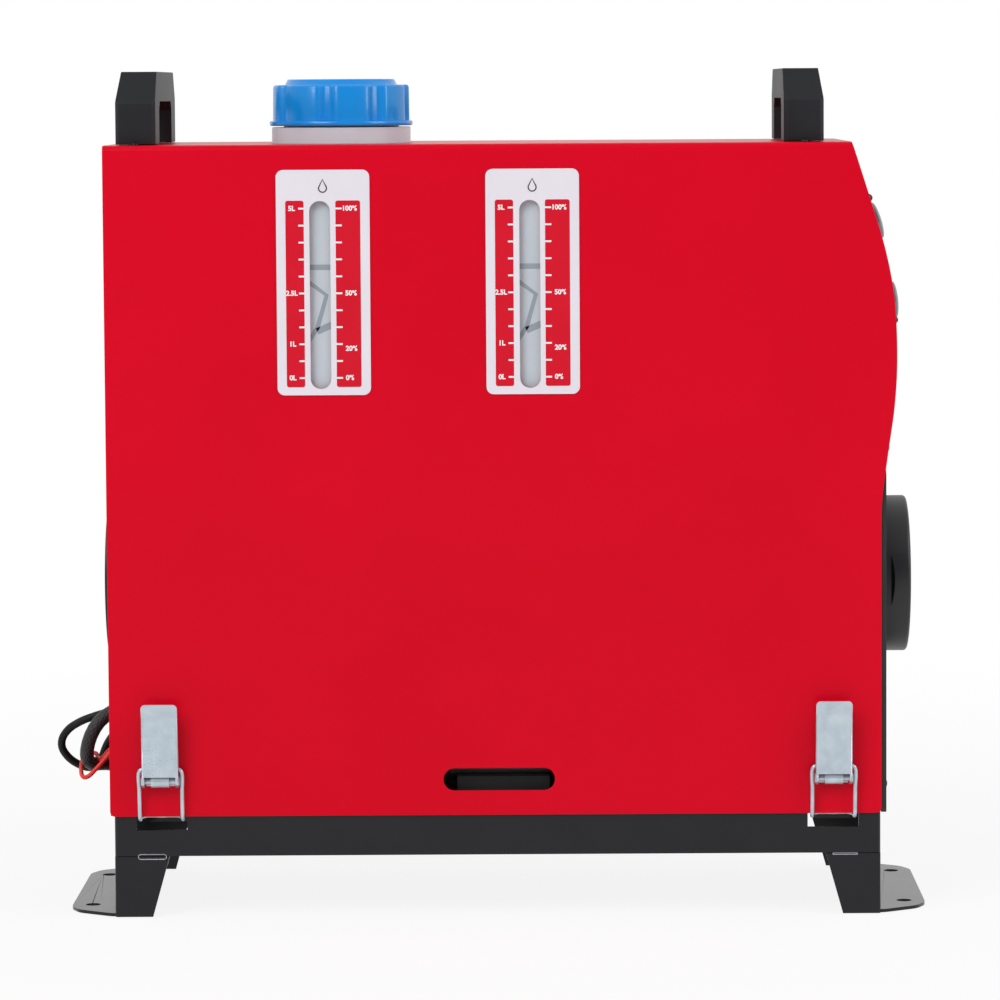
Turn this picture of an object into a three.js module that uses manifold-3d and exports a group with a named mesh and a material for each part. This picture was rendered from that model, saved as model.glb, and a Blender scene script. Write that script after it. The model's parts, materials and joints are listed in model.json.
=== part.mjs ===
// All-in-one diesel air heater: a red steel hood over a black base pan on two leg brackets. The hood
// covers a fuel tank, a heater unit with its blower and burner, and a dosing pump. Millimetres. +X is the
// warm-air side, +Z is up, -Y is the side with the level windows. The origin is on the floor, under the
// middle.
import * as THREE from 'three';
import { mergeVertices } from 'three/addons/utils/BufferGeometryUtils.js';
import Module from 'manifold-3d';

const wasm = await Module();
wasm.setup();

// Driving dimensions.
const gap = 0.3; // between two pieces that touch
const sheet = 1.2; // steel of the hood
const thickSheet = 1.6; // steel of the base
const hoodBack = -188;
const hoodFront = 186.5;
const hoodLow = 49.4;
const hoodTop = 374.6;
const hoodHalf = 72.5; // half the depth of the hood
const hoodBend = 3;
const panX = 186.1;
const panY = 71;
const panLow = 29.8;
const panTop = 52;
const latchX = 163; // each side of the middle
const latchPivotZ = 67.4;
const latchPivotY = -77.5;
const bailPivotRise = 5.8;
const bailHalfWidth = 10.35;
const bailWire = 0.95; // radius
const legY = 69;
const flangeX = 209.5;
const legSteel = 1.6;
const handleXs = { front: 149.8, rear: -172.8 };
const handleWidth = 19.4;
const handleTop = 410;
const fillerX = -76;
const neckRadius = 28.5;
const neckBore = 25;
const neckTop = 398;
const collarRadius = 34.4;
const capLow = 383.1;
const capTop = 406;
const capCeiling = 402; // inside
const tankBox = { x0: -168, x1: 128, y: 67.5, z0: 244, z1: 370, wall: 3 };
const windowXs = { rear: -83.6, front: 17.3 };
const labelXs = { rear: -82.1, front: 18.6 };
const windowWidth = 10;
const windowLow = 257;
const windowHigh = 347.5;
const outletZ = 159; // axis of the heater unit and of its round outlet
const outletRadius = 38.7;
const outletX = 203.5;
const panelFace = 188.9; // front face of the front panel, below the bulge
const caseHalf = 62;
const caseWall = 2.5;
const caseBack = -168;
const caseFront = 170;
const pumpY = -48;
const pumpZ = 77;
const pumpRadius = 13.5;
const leadDiameter = 7;
const harnessDiameter = 4;
const redWireDiameter = 2.2;
const coilCentre = new THREE.Vector3(-98, 184, 0);
const coilRadius = 41; // to the middle of the turns
const coilPitch = 7.7; // between turns, and between layers
const buttonRadius = 9;
const buttonSpots = { power: [-34, 335], menu: [34, 335], down: [-34, 296.5], up: [34, 296.5] };

// Finishes.
const paint = (color, roughness, metalness = 0) =>
  new THREE.MeshStandardMaterial({ color, roughness, metalness });
const redPaint = paint(0xcd0020, 0.22);
const blackPaint = paint(0x242428, 0.4);
const blackPlastic = paint(0x1b1b1e, 0.45);
const blackRubber = paint(0x151515, 0.75);
const zincPlate = paint(0xa9b6bb, 0.3, 0.9);
const tankPlastic = paint(0xc9d2d8, 0.5);
const bluePlastic = paint(0x0080f0, 0.25);
const labelFilm = paint(0xeee4eb, 0.45);
const castAluminium = paint(0xa0a3a6, 0.5, 0.9);
const burnerSteel = paint(0x8a8c8f, 0.4, 0.9);
const screenGlass = paint(0x10161a, 0.1);
const buttonSilver = paint(0x8f9296, 0.35, 0.5);
const boardGreen = paint(0x1f5a3a, 0.6);
const redWire = paint(0xd8201c, 0.45);

// Every solid is closed and faces outwards before it is cut or joined.
function solid(geometry) {
  geometry.deleteAttribute('normal');
  geometry.deleteAttribute('uv');
  const merged = mergeVertices(geometry);
  const place = merged.getAttribute('position').array;
  const corner = (i) => new THREE.Vector3().fromArray(place, 3 * i);
  const triangles = [];
  let volume = 0;
  for (let i = 0; i < merged.index.count; i += 3) {
    const [a, b, c] = merged.index.array.slice(i, i + 3);
    if (a === b || b === c || c === a) continue;
    triangles.push([a, b, c]);
    volume += corner(a).dot(corner(b).cross(corner(c)));
  }
  const facing = volume > 0 ? triangles : triangles.map(([a, b, c]) => [a, c, b]);
  const vertProperties = new Float32Array(place);
  const triVerts = new Uint32Array(facing.flat());
  return new wasm.Manifold(new wasm.Mesh({ numProp: 3, vertProperties, triVerts }));
}

const group = new THREE.Group();

function piece(name, shape, material, parent = group) {
  const { vertProperties, triVerts } = shape.getMesh();
  const geometry = new THREE.BufferGeometry();
  geometry.setAttribute('position', new THREE.BufferAttribute(vertProperties, 3));
  geometry.setIndex(new THREE.BufferAttribute(triVerts, 1));
  const mesh = new THREE.Mesh(geometry, material);
  mesh.name = name;
  parent.add(mesh);
  return mesh;
}

function box(x0, x1, y0, y1, z0, z1) {
  const geometry = new THREE.BoxGeometry(x1 - x0, y1 - y0, z1 - z0);
  return solid(geometry.translate((x0 + x1) / 2, (y0 + y1) / 2, (z0 + z1) / 2));
}

const extrude = (shape, depth) =>
  new THREE.ExtrudeGeometry(shape, { depth, bevelEnabled: false, curveSegments: 3 });
const outline = (points) => new THREE.Shape(points.map(([u, v]) => new THREE.Vector2(u, v)));
const turnToX = new THREE.Matrix4().makeBasis(
  new THREE.Vector3(0, 1, 0),
  new THREE.Vector3(0, 0, 1),
  new THREE.Vector3(1, 0, 0),
);

// The shape's axes are X and Z, Y and Z, or X and Y.
const alongY = (shape, y0, y1) => solid(extrude(shape, y1 - y0).rotateX(Math.PI / 2).translate(0, y1, 0));
const alongX = (shape, x0, x1) => solid(extrude(shape, x1 - x0).applyMatrix4(turnToX).translate(x0, 0, 0));
const alongZ = (shape, z0, z1) => solid(extrude(shape, z1 - z0).translate(0, 0, z0));

function roundedRectangle(u0, u1, v0, v1, radius) {
  const shape = new THREE.Shape();
  shape.moveTo(u0 + radius, v0);
  shape.lineTo(u1 - radius, v0);
  shape.absarc(u1 - radius, v0 + radius, radius, -Math.PI / 2, 0);
  shape.lineTo(u1, v1 - radius);
  shape.absarc(u1 - radius, v1 - radius, radius, 0, Math.PI / 2);
  shape.lineTo(u0 + radius, v1);
  shape.absarc(u0 + radius, v1 - radius, radius, Math.PI / 2, Math.PI);
  shape.lineTo(u0, v0 + radius);
  shape.absarc(u0 + radius, v0 + radius, radius, Math.PI, 1.5 * Math.PI);
  return shape;
}

// A turned piece: its profile is a list of [radius, place along the axis].
function turned(profile, sides, axis = 'x') {
  const points = profile.map(([radius, along]) => new THREE.Vector2(radius, along));
  const geometry = new THREE.LatheGeometry(points, sides);
  return solid(axis === 'x' ? geometry.rotateZ(-Math.PI / 2) : geometry.rotateX(Math.PI / 2));
}

const rod = (radius, from, to, sides, axis) =>
  turned([[0, from], [radius, from], [radius, to], [0, to]], sides, axis);
const ring = (inner, outer, from, to, sides, axis) =>
  turned([[inner, from], [outer, from], [outer, to], [inner, to], [inner, from]], sides, axis);

function tube(curve, radius, sides, steps) {
  const corners = [];
  for (let i = 0; i < sides; i += 1) {
    const turn = (2 * Math.PI * i) / sides;
    corners.push([radius * Math.cos(turn), radius * Math.sin(turn)]);
  }
  const settings = { steps, bevelEnabled: false, extrudePath: curve };
  return solid(new THREE.ExtrudeGeometry(outline(corners), settings));
}

const vector = ([x, y, z]) => new THREE.Vector3(x, y, z);

// A tube through points chosen by hand, rounded at each.
function wireThrough(points, radius, sides, steps) {
  return tube(new THREE.CatmullRomCurve3(points.map(vector), false, 'centripetal'), radius, sides, steps);
}

const union = (shapes) => shapes.reduce((whole, shape) => whole.add(shape));

// The front edge of the hood's cheeks bulges out from its top corner and runs straight down below it.
const cheekEdge = new THREE.SplineCurve(
  [
    [172.4, 374.6], [181.7, 345.4], [188.6, 322], [192.8, 299], [194.1, 272],
    [193, 248.5], [189.8, 225], [187, 203.6], [hoodFront, 190], [hoodFront, 170],
  ].map(([x, z]) => new THREE.Vector2(x, z)),
);

function cheekAt(z) {
  let low = 0;
  let high = 1;
  for (let i = 0; i < 30; i += 1) {
    const middle = (low + high) / 2;
    if (cheekEdge.getPoint(middle).y > z) low = middle;
    else high = middle;
  }
  const along = cheekEdge.getTangent(low);
  return { x: cheekEdge.getPoint(low).x, nx: -along.y, nz: along.x };
}

// A strip that follows the cheek's edge from z0 up to z1, between two distances outside it.
function cheekStrip(z0, z1, inner, outer, steps) {
  const side = (distance) =>
    Array.from({ length: steps + 1 }, (_, i) => {
      const z = z0 + ((z1 - z0) * i) / steps;
      const { x, nx, nz } = cheekAt(z);
      return [x + distance * nx, z + distance * nz];
    });
  return [...side(outer), ...side(inner).reverse()];
}

// The slot of a level window, through the hood and the label.
function windowCut(x) {
  const half = windowWidth / 2;
  const slot = roundedRectangle(x - half, x + half, windowLow, windowHigh, half - 0.1);
  return alongY(slot, -hoodHalf - 5, -hoodHalf + 5);
}

// Hood: one bent sheet, open at the front, the back and below.
function hoodShell() {
  const cheekPoints = cheekEdge.getPoints(30).map((p) => [p.x, p.y]).reverse();
  const side = outline([[hoodBack, hoodLow], [hoodFront, hoodLow], ...cheekPoints, [hoodBack, hoodTop]]);
  const across = (half, top, bend) => roundedRectangle(-half, half, 0, top, bend);
  const outside = alongY(side, -hoodHalf, hoodHalf).intersect(
    alongX(across(hoodHalf, hoodTop, hoodBend), hoodBack - 1, hoodFront + 20),
  );
  const hollow = across(hoodHalf - sheet, hoodTop - sheet, hoodBend - sheet);
  const inside = alongX(hollow, hoodBack - 2, hoodFront + 30);
  const vent = roundedRectangle(-26, 28, 61.4, 72.2, 5.3);
  const windows = Object.values(windowXs).map(windowCut);
  const filler = rod(collarRadius + 1, hoodTop - 9, hoodTop + 9, 32, 'z').translate([fillerX, 0, 0]);
  return outside
    .subtract(inside)
    .subtract(alongY(vent, -hoodHalf - 5, hoodHalf + 5))
    .subtract(union(windows))
    .subtract(filler);
}
piece('hood_shell', hoodShell(), redPaint);

// Rear panel: a shallow tray between the cheeks, with the air inlet and the cable entry.
const trayY = hoodHalf - sheet - gap;
const trayBack = hoodBack + 0.2;
const entry = { y0: -5, y1: 31, z0: 60, z1: 101 };
const trayTop = hoodTop - sheet - gap;
const trayDepth = 12;
const inletRadius = 42;
const underHood = (x0, x1, low) =>
  alongX(roundedRectangle(-trayY, trayY, low, trayTop, hoodBend - sheet), x0, x1);
function rearPanel() {
  const hollow = box(trayBack + sheet, trayBack + 13, -trayY + sheet, trayY - sheet, 0, trayTop - sheet);
  const inlet = rod(inletRadius, trayBack - 1, trayBack + 3, 36).translate([0, 0, outletZ]);
  const cableHole = box(trayBack - 1, trayBack + 3, entry.y0 + 5, entry.y1 - 5, entry.z0 + 5, entry.z1 - 5);
  return underHood(trayBack, trayBack + sheet, hoodLow)
    .add(underHood(trayBack, trayBack + trayDepth, panTop + 1))
    .subtract(hollow)
    .subtract(inlet)
    .subtract(cableHole);
}
piece('rear_panel', rearPanel(), redPaint);

// Inlet grille: rings and spokes, moulded in one piece.
const grilleFace = trayBack - gap;
function guard(ringRadius, [rimInner, rimOuter], x0, x1, spokes) {
  const middleRing = ring(ringRadius - 1.2, ringRadius + 1.2, x0 + 0.6, x1, 18);
  const arms = Array.from({ length: spokes }, (_, i) =>
    box(x0 + 0.4, x1, 3, rimOuter - 1, -1.3, 1.3).rotate([(360 * i) / spokes, 0, 0]),
  );
  const rim = ring(rimInner, rimOuter, x0, x1, 30);
  return union([rim, rod(7, x0, x1, 10), middleRing, ...arms]).translate([0, 0, outletZ]);
}
piece('rear_grille', guard(24, [inletRadius - 1, 47], grilleFace - 1.5, grilleFace, 8), blackPlastic);

// Front panel: follows the cheeks, then stands a little proud of them below the bulge.
const panelWall = 2.5;
const proudTop = 214;
const bezelSize = { y: 52, z0: 281, z1: 352 };
function frontPanel() {
  const bulge = cheekStrip(proudTop + 3, trayTop, -panelWall, 0, 22);
  const strip = outline([
    [panelFace, hoodLow], [panelFace, proudTop], ...bulge,
    [panelFace - panelWall, proudTop], [panelFace - panelWall, hoodLow],
  ]);
  const { y, z0, z1 } = bezelSize;
  return alongY(strip, -trayY, trayY)
    .intersect(underHood(150, 220, hoodLow))
    .subtract(rod(36, 150, 210, 36).translate([0, 0, outletZ]))
    .subtract(box(150, 210, -y - gap, y + gap, z0 - gap, z1 + gap));
}
piece('front_panel', frontPanel(), blackPlastic);

// Control panel: a curved bezel with four domed keys round a screen, and a board on its posts.
function onBezel(shape, y, z, distance) {
  const { x, nx, nz } = cheekAt(z);
  const lean = (Math.atan2(-nz, nx) * 180) / Math.PI;
  return shape.rotate([0, lean, 0]).translate([x + distance * nx, y, z + distance * nz]);
}
const bezelBack = -2; // the places from here on are measured out from the cheek's edge
const bezelFace = 0.5;
const pocketFloor = -1.1;
const board = { place: -8.5, z: 316, halfY: 42, halfZ: 29, thick: 1.6 };
const postSpots = [[-38, 294], [38, 294], [-38, 339], [38, 339]];
const spots = Object.values(buttonSpots);
function controlBezel() {
  const { y, z0, z1 } = bezelSize;
  const plate = alongY(outline(cheekStrip(z0, z1, bezelBack, bezelFace, 12)), -y, y);
  const trim = alongX(roundedRectangle(-y, y, z0 - 0.5, z1 + 0.5, 5), 150, 210);
  const pocket = rod(buttonRadius + 0.4, 0, 8, 20);
  const pockets = spots.map(([py, pz]) => onBezel(pocket, py, pz, pocketFloor));
  const posts = postSpots.map(([py, pz]) => onBezel(rod(2.6, -5.5, 1, 8), py, pz, bezelBack));
  const pastBoard = onBezel(box(-20, board.thick / 2 + gap, -60, 60, -50, 50), 0, board.z, board.place);
  return plate.intersect(trim).subtract(union(pockets)).add(union(posts).subtract(pastBoard));
}
piece('control_bezel', controlBezel(), blackPlastic);
const screenFloor = bezelFace + gap;
const screen = cheekStrip(291, 341, screenFloor, screenFloor + 0.6, 8);
piece('lcd_screen', alongY(outline(screen), -20, 20), screenGlass);
const { halfY, halfZ, thick } = board;
const boardPlate = box(-thick / 2, thick / 2, -halfY, halfY, -halfZ, halfZ);
piece('controller_board', onBezel(boardPlate, 0, board.z, board.place), boardGreen);
const keyProfile = [[0, -0.4], [buttonRadius, -0.4], [buttonRadius, 2.6], [7.6, 3.6], [4.6, 4], [0, 4.2]];
for (const [name, [y, z]] of Object.entries(buttonSpots)) {
  piece(`${name}_button`, onBezel(turned(keyProfile, 18), y, z, 0), buttonSilver);
}

// Base pan: pressed upside down, with a slot for each latch and a hole for each pipe.
const pipeSpots = { exhaust: [20, 10], intake: [-45, 10] };
const pipeRadius = 12;
const pipeHoles = (radius, from, to) =>
  union(Object.values(pipeSpots).map(([x, y]) => rod(radius, from, to, 24, 'z').translate([x, y, 0])));
function basePan() {
  const slotHalf = 12.35;
  const slots = [-latchX, latchX].map((x) =>
    box(x - slotHalf, x + slotHalf, -panY - 5, panY + 5, 42.5, 50.3),
  );
  const across = roundedRectangle(-panX, panX, -panY, panY, 2.2);
  const innerX = panX - thickSheet;
  const innerY = panY - thickSheet;
  const hollow = roundedRectangle(-innerX, innerX, -innerY, innerY, 0.6);
  return alongZ(across, panLow, panTop)
    .subtract(alongZ(hollow, panLow - 1, panTop - thickSheet))
    .subtract(union(slots))
    .subtract(pipeHoles(pipeRadius + 2, panLow, panTop + 5));
}
piece('base_pan', basePan(), blackPaint);

// Leg bracket: an end plate and two tapered wings, flush with the pan and stepped in to fit inside it,
// with a foot flange that has cut corners and two screw holes.
const flangeHoleX = 199.5;
const flangeHoleY = 44;
function legBracket() {
  const flush = panLow - gap;
  const step = flush - 4.5;
  const wingTop = 38;
  const innerX = panX - thickSheet - gap;
  const innerY = panY - thickSheet - gap;
  const wing = outline([[panX, 0], [167.8, 0], [159.5, flush], [panX, flush]]);
  const stepWing = outline([[innerX, step], [160.8, step], [159.5, flush], [innerX, flush]]);
  const upperWing = outline([
    [innerX, step], [160.8, step], [159.5, flush], [159.5, wingTop], [innerX, wingTop],
  ]);
  const foot = outline([
    [panX - legSteel, -legY], [188, -legY], [205, -58], [flangeX, -48],
    [flangeX, 48], [205, 58], [188, legY], [panX - legSteel, legY],
  ]);
  const hole = rod(3.75, -1, 5, 16, 'z');
  const holes = [-flangeHoleY, flangeHoleY].map((y) => hole.translate([flangeHoleX, y, 0]));
  const wings = [-1, 1].map((side) => {
    const between = (shape, y0, y1) => (side > 0 ? alongY(shape, y0, y1) : alongY(shape, -y1, -y0));
    return between(wing, panY - legSteel, panY)
      .add(between(stepWing, innerY - legSteel, panY))
      .add(between(upperWing, innerY - legSteel, innerY));
  });
  return box(panX - legSteel, panX, -panY, panY, 0, flush)
    .add(box(innerX - legSteel, panX, -innerY, innerY, step, flush))
    .add(box(innerX - legSteel, innerX, -innerY, innerY, step, wingTop))
    .add(box(innerX - legSteel, innerX, -60, 60, step, panTop - thickSheet - gap))
    .add(union(wings))
    .add(alongZ(foot, 0, legSteel))
    .subtract(union(holes));
}
piece('leg_bracket_front', legBracket(), blackPaint);
piece('leg_bracket_rear', legBracket(), blackPaint).rotation.z = Math.PI;

// Handles: moulded bridges across the top, bevelled outboard above the break in their legs.
const breakZ = 394.8;
const handleFoot = hoodTop + gap;
function handle() {
  const half = handleWidth / 2;
  const side = outline([
    [-62, handleFoot], [-62, breakZ], [-50, handleTop], [50, handleTop], [62, breakZ], [62, handleFoot],
    [37, handleFoot], [37, 391], [33, 395.5], [-33, 395.5], [-37, 391], [-37, handleFoot],
  ]);
  const end = outline([
    [-half, handleFoot - 1], [-half, handleTop + 1], [half - 2.3, handleTop + 1], [half, breakZ],
    [half, handleFoot - 1],
  ]);
  return alongX(side, -half, half).intersect(alongY(end, -70, 70));
}
piece('handle_front', handle(), blackPlastic).position.x = handleXs.front;
const rearHandle = piece('handle_rear', handle(), blackPlastic);
rearHandle.rotation.z = Math.PI;
rearHandle.position.x = handleXs.rear;

// Fuel tank: blow-moulded, hollow, with a filler neck, stiffening ribs and an outlet nipple.
const nipple = { x: 100, y: -58 };
function fuelTank() {
  const { x0, x1, y, z0, z1, wall } = tankBox;
  const middle = (z0 + z1) / 2;
  const long = roundedRectangle(x0, x1, z0, z1, 14);
  const across = roundedRectangle(-y, y, z0, z1, 12);
  const longIn = roundedRectangle(x0 + wall, x1 - wall, z0 + wall, z1 - wall, 11);
  const acrossIn = roundedRectangle(-y + wall, y - wall, z0 + wall, z1 - wall, 9);
  const outside = alongY(long, -y, y).intersect(alongX(across, x0 - 1, x1 + 1));
  const inside = alongY(longIn, -y + wall, y - wall).intersect(alongX(acrossIn, x0, x1));
  const proud = y + 1.2;
  const centre = (windowXs.rear + windowXs.front) / 2;
  const slanted = [-1, 1].map((way) =>
    box(-34, 34, -proud, proud, -2, 2).rotate([0, way * 38, 0]).translate([centre + way * 50, 0, middle]),
  );
  const level = box(x0 + 20, x1 - 20, -proud, proud, middle + 23, middle + 26);
  const neck = ring(neckBore, neckRadius, z1 - 5, neckTop, 30, 'z')
    .add(ring(neckBore, collarRadius, z1 - 1, capLow - 0.7, 30, 'z'))
    .translate([fillerX, 0, 0]);
  const bore = rod(neckBore, z1 - 8, neckTop + 2, 30, 'z').translate([fillerX, 0, 0]);
  const outlet = rod(3.4, z0 - 7, z0 + 1, 12, 'z').translate([nipple.x, nipple.y, 0]);
  return union([outside, neck, ...slanted, level, outlet]).subtract(inside).subtract(bore);
}
piece('fuel_tank', fuelTank(), tankPlastic);

// Filler cap: eight lobes parted by grooves, on a flange, with a raised disc and a seal inside.
function fillerCap() {
  const lobeRadius = 33.8;
  const deep = lobeRadius - 2.6;
  const groove = [
    [-0.125, lobeRadius], [-0.09, deep], [0.09, deep], [0.125, lobeRadius], [0.26, lobeRadius],
    [0.39, lobeRadius], [0.52, lobeRadius],
  ];
  const points = [];
  for (let i = 0; i < 8; i += 1) {
    const middle = ((45 * i - 100.6) * Math.PI) / 180;
    for (const [turn, radius] of groove) {
      points.push([radius * Math.cos(middle + turn), radius * Math.sin(middle + turn)]);
    }
  }
  const brim = capLow + 2.4;
  const shoulder = capTop - 2.8;
  const inner = neckRadius + 1;
  const profile = [
    [inner, capLow], [35.4, capLow], [35.4, brim], [30, brim], [30, shoulder], [27, shoulder],
    [27, capTop - 0.6], [26.4, capTop], [0, capTop], [0, capCeiling], [inner, capCeiling], [inner, capLow],
  ];
  const hollow = rod(29.6, 0, capCeiling - 0.1, 32, 'z');
  const lobes = alongZ(outline(points), brim - 0.4, shoulder).subtract(hollow);
  return lobes.add(turned(profile, 32, 'z')).translate([fillerX, 0, 0]);
}
piece('filler_cap', fillerCap(), bluePlastic);
const seal = ring(neckBore - 1, neckRadius, neckTop + gap, capCeiling - gap, 24, 'z');
piece('cap_seal', seal.translate([fillerX, 0, 0]), blackRubber);

// Level labels: film plates round the two windows.
for (const [place, x] of Object.entries(labelXs)) {
  const plate = roundedRectangle(x - 22.5, x + 22.5, 254, 362.5, 3.5);
  const film = alongY(plate, -hoodHalf - 2 * gap, -hoodHalf - gap);
  piece(`level_label_${place}`, film.subtract(windowCut(windowXs[place])), labelFilm);
}

// Toggle latches: a bracket with its pin on the hood, a lever, and a wire bail that hooks into the
// base's slot.
const bailPivotZ = latchPivotZ + bailPivotRise;
const leverFace = -81.6;
const leverSheet = 1.2;
const leverTop = 105.4;
function latchBracket() {
  const plateFace = -hoodHalf - gap;
  const tongue = rod(3, -4.4, 4.4, 16).translate([0, latchPivotY, latchPivotZ]);
  return box(-7, 7, plateFace - leverSheet, plateFace, latchPivotZ - 2.8, 96)
    .add(box(-4.4, 4.4, latchPivotY, plateFace, latchPivotZ - 3, latchPivotZ + 3))
    .add(tongue)
    .add(rod(1.5, -9, 9, 12).translate([0, latchPivotY, latchPivotZ]));
}
function latchLever() {
  const half = 8.75;
  const face = box(-half, half, leverFace, leverFace + leverSheet, latchPivotZ + 2.4, leverTop - 6.4);
  const grip = outline([
    [leverFace, leverTop - 6.5], [leverFace - 2.2, leverTop], [leverFace - 1, leverTop],
    [leverFace + leverSheet, leverTop - 6.5],
  ]);
  const y = latchPivotY;
  const z = latchPivotZ;
  const flange = outline([
    [leverFace, z + 2.4], [y - 2.9, z - 0.8], [y - 1.8, z - 2.6], [y, z - 3.1], [y + 1.8, z - 2.6],
    [y + 2.9, z - 0.8], [y + 2.9, bailPivotZ + 3], [y - 0.5, bailPivotZ + 12], [y - 0.5, leverTop - 12],
    [leverFace, leverTop - 7],
  ]);
  const flanges = [-half, half - leverSheet].map((x) => alongX(flange, x, x + leverSheet));
  const pinHole = rod(2, -20, 20, 8).translate([0, latchPivotY, latchPivotZ]);
  const wireHole = rod(1.5, -20, 20, 8).translate([0, latchPivotY, bailPivotZ]);
  return union([face, alongX(grip, -half, half), ...flanges]).subtract(pinHole).subtract(wireHole);
}
const bailBar = { y: 9.3, z: -24 }; // below and inside the bail's pivot
function latchBail() {
  const { y, z } = bailBar;
  const half = bailHalfWidth;
  const halfRoute = [
    [0, y, z], [half - 2.6, y, z], [half - 0.4, y - 1.4, z - 0.5], [half, 5.5, z - 1.1],
    [half, 3.1, z - 0.1], [half, 2.3, z + 3.4], [half, 1.1, -11], [half, 0, -1.6], [half - 1, 0, -0.1],
    [half - 2.4, 0, 0], [6.6, 0, 0],
  ];
  const otherHalf = halfRoute.slice(1).map(([px, py, pz]) => [-px, py, pz]).reverse();
  const wire = wireThrough([...otherHalf, ...halfRoute], bailWire, 6, 28);
  return wire.translate([0, latchPivotY, bailPivotZ]);
}
const latchPlaces = [
  ['near_rear', -1, 1],
  ['near_front', 1, 1],
  ['far_rear', -1, -1],
  ['far_front', 1, -1],
];
for (const [name, alongHood, facing] of latchPlaces) {
  const latch = new THREE.Group();
  latch.position.x = alongHood * latchX;
  latch.rotation.z = facing > 0 ? 0 : Math.PI;
  group.add(latch);
  piece(`latch_bracket_${name}`, latchBracket(), zincPlate, latch);
  piece(`latch_lever_${name}`, latchLever(), zincPlate, latch);
  piece(`latch_bail_${name}`, latchBail(), zincPlate, latch);
}

// Round warm-air outlet: a spigot for a duct, with a cone behind it and a finger guard inside.
const collarProfile = [
  [33.4, outletX], [33.4, 176], [56.5, 152], [58.6, 152], [36.6, 174], [35, 176.5], [35, panelFace + gap],
  [outletRadius, panelFace + gap], [outletRadius, outletX - 1], [outletRadius - 1, outletX],
  [33.4, outletX],
];
piece('outlet_collar', turned(collarProfile, 36).translate([0, 0, outletZ]), blackPlastic);
piece('outlet_guard', guard(18, [29.5, 33], 179, 182, 5), blackPlastic);

// Heater unit: two case halves round the exchanger, burner, motor and blower.
function caseShell() {
  const section = (half, corner) => roundedRectangle(-half, half, outletZ - half, outletZ + half, corner);
  const hollow = alongX(section(caseHalf - caseWall, 19.5), caseBack - 1, caseFront + 1);
  return alongX(section(caseHalf, 22), caseBack, caseFront).subtract(hollow);
}
const upperHalf = box(-200, 200, -100, 100, outletZ + gap / 2, outletZ + 100);
const lowerHalf = box(-200, 200, -100, 100, outletZ - 100, outletZ - gap / 2);
const bossHoles = pipeHoles(pipeRadius + 6, 60, outletZ - 40);
piece('heater_case_lower', caseShell().intersect(lowerHalf).subtract(bossHoles), blackPlastic);
piece('heater_case_upper', caseShell().intersect(upperHalf), blackPlastic);

const bossRadius = 16;
const bossLow = outletZ - caseHalf + caseWall + 1;
const onAxis = (shape) => shape.translate([0, 0, outletZ]);
function heatExchanger() {
  const finCount = 14;
  const points = [];
  for (let i = 0; i < finCount; i += 1) {
    const middle = (2 * Math.PI * i) / finCount;
    for (const [turn, radius] of [[-0.045, 40], [-0.03, 54], [0.03, 54], [0.045, 40]]) {
      points.push([radius * Math.cos(middle + turn), radius * Math.sin(middle + turn)]);
    }
  }
  const [x, y] = pipeSpots.exhaust;
  const boss = rod(bossRadius, bossLow, outletZ - 33, 16, 'z').translate([x, y, 0]);
  const bore = rod(pipeRadius + 0.6, bossLow - 5, outletZ - 25, 18, 'z').translate([x, y, 0]);
  return onAxis(alongX(outline(points), -24, 140))
    .add(boss)
    .subtract(onAxis(rod(32, -30, 130, 32)))
    .subtract(bore);
}
piece('heat_exchanger', heatExchanger(), castAluminium);

const glowX = -40;
function burnerHousing() {
  const profile = [
    [8, -90.7], [50, -90.7], [50, -24.3], [24.6, -24.3], [24.6, -60], [10, -60], [10, -68], [38, -68],
    [38, -86], [8, -86], [8, -90.7],
  ];
  const [x, y] = pipeSpots.intake;
  const boss = rod(bossRadius, bossLow, outletZ - 42, 16, 'z').translate([x, y, 0]);
  const bore = rod(pipeRadius + 0.6, bossLow - 5, outletZ - 44, 18, 'z').translate([x, y, 0]);
  const plugHole = rod(5.6, outletZ + 20, outletZ + 60, 16, 'z').translate([glowX, 0, 0]);
  return onAxis(turned(profile, 24)).add(boss).subtract(bore).subtract(plugHole);
}
piece('burner_housing', burnerHousing(), castAluminium);
piece('combustion_tube', onAxis(ring(22, 24, -58, 80, 28)), burnerSteel);
const plugProfile = [
  [0, 25], [2.5, 25], [2.5, 34], [5, 36], [5, 50.6], [7.6, 50.6], [7.6, 56], [3, 56], [3, 59], [0, 59],
];
piece('glow_plug', turned(plugProfile, 8, 'z').translate([glowX, 0, outletZ]), burnerSteel);

const shaftRadius = 3;
piece('blower_motor', onAxis(ring(3.6, 30, -132, -91, 28)), burnerSteel);
piece('blower_shaft', onAxis(rod(shaftRadius, -160, -70, 12)), burnerSteel);
function wheel(hub, tip, x0, x1, blades, sides) {
  const vanes = Array.from({ length: blades }, (_, i) =>
    box(x0, x1, hub - 2, tip + 3, -0.8, 0.8).rotate([(360 * i) / blades, 0, 0]),
  );
  return union([ring(shaftRadius + 0.4, hub, x0, x1, 20), ...vanes]).intersect(rod(tip, x0, x1, sides));
}
piece('heating_fan', onAxis(wheel(20, 55, -158, -138, 9, 27)), blackPlastic);
const impellerDisc = ring(shaftRadius + 0.4, 34, -76, -74, 21);
piece('combustion_impeller', onAxis(wheel(9, 34, -82, -74, 7, 21).add(impellerDisc)), castAluminium);
piece('heater_ecu', box(-134, -95, -26, 26, outletZ + 32, outletZ + 54), blackPlastic);

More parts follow.
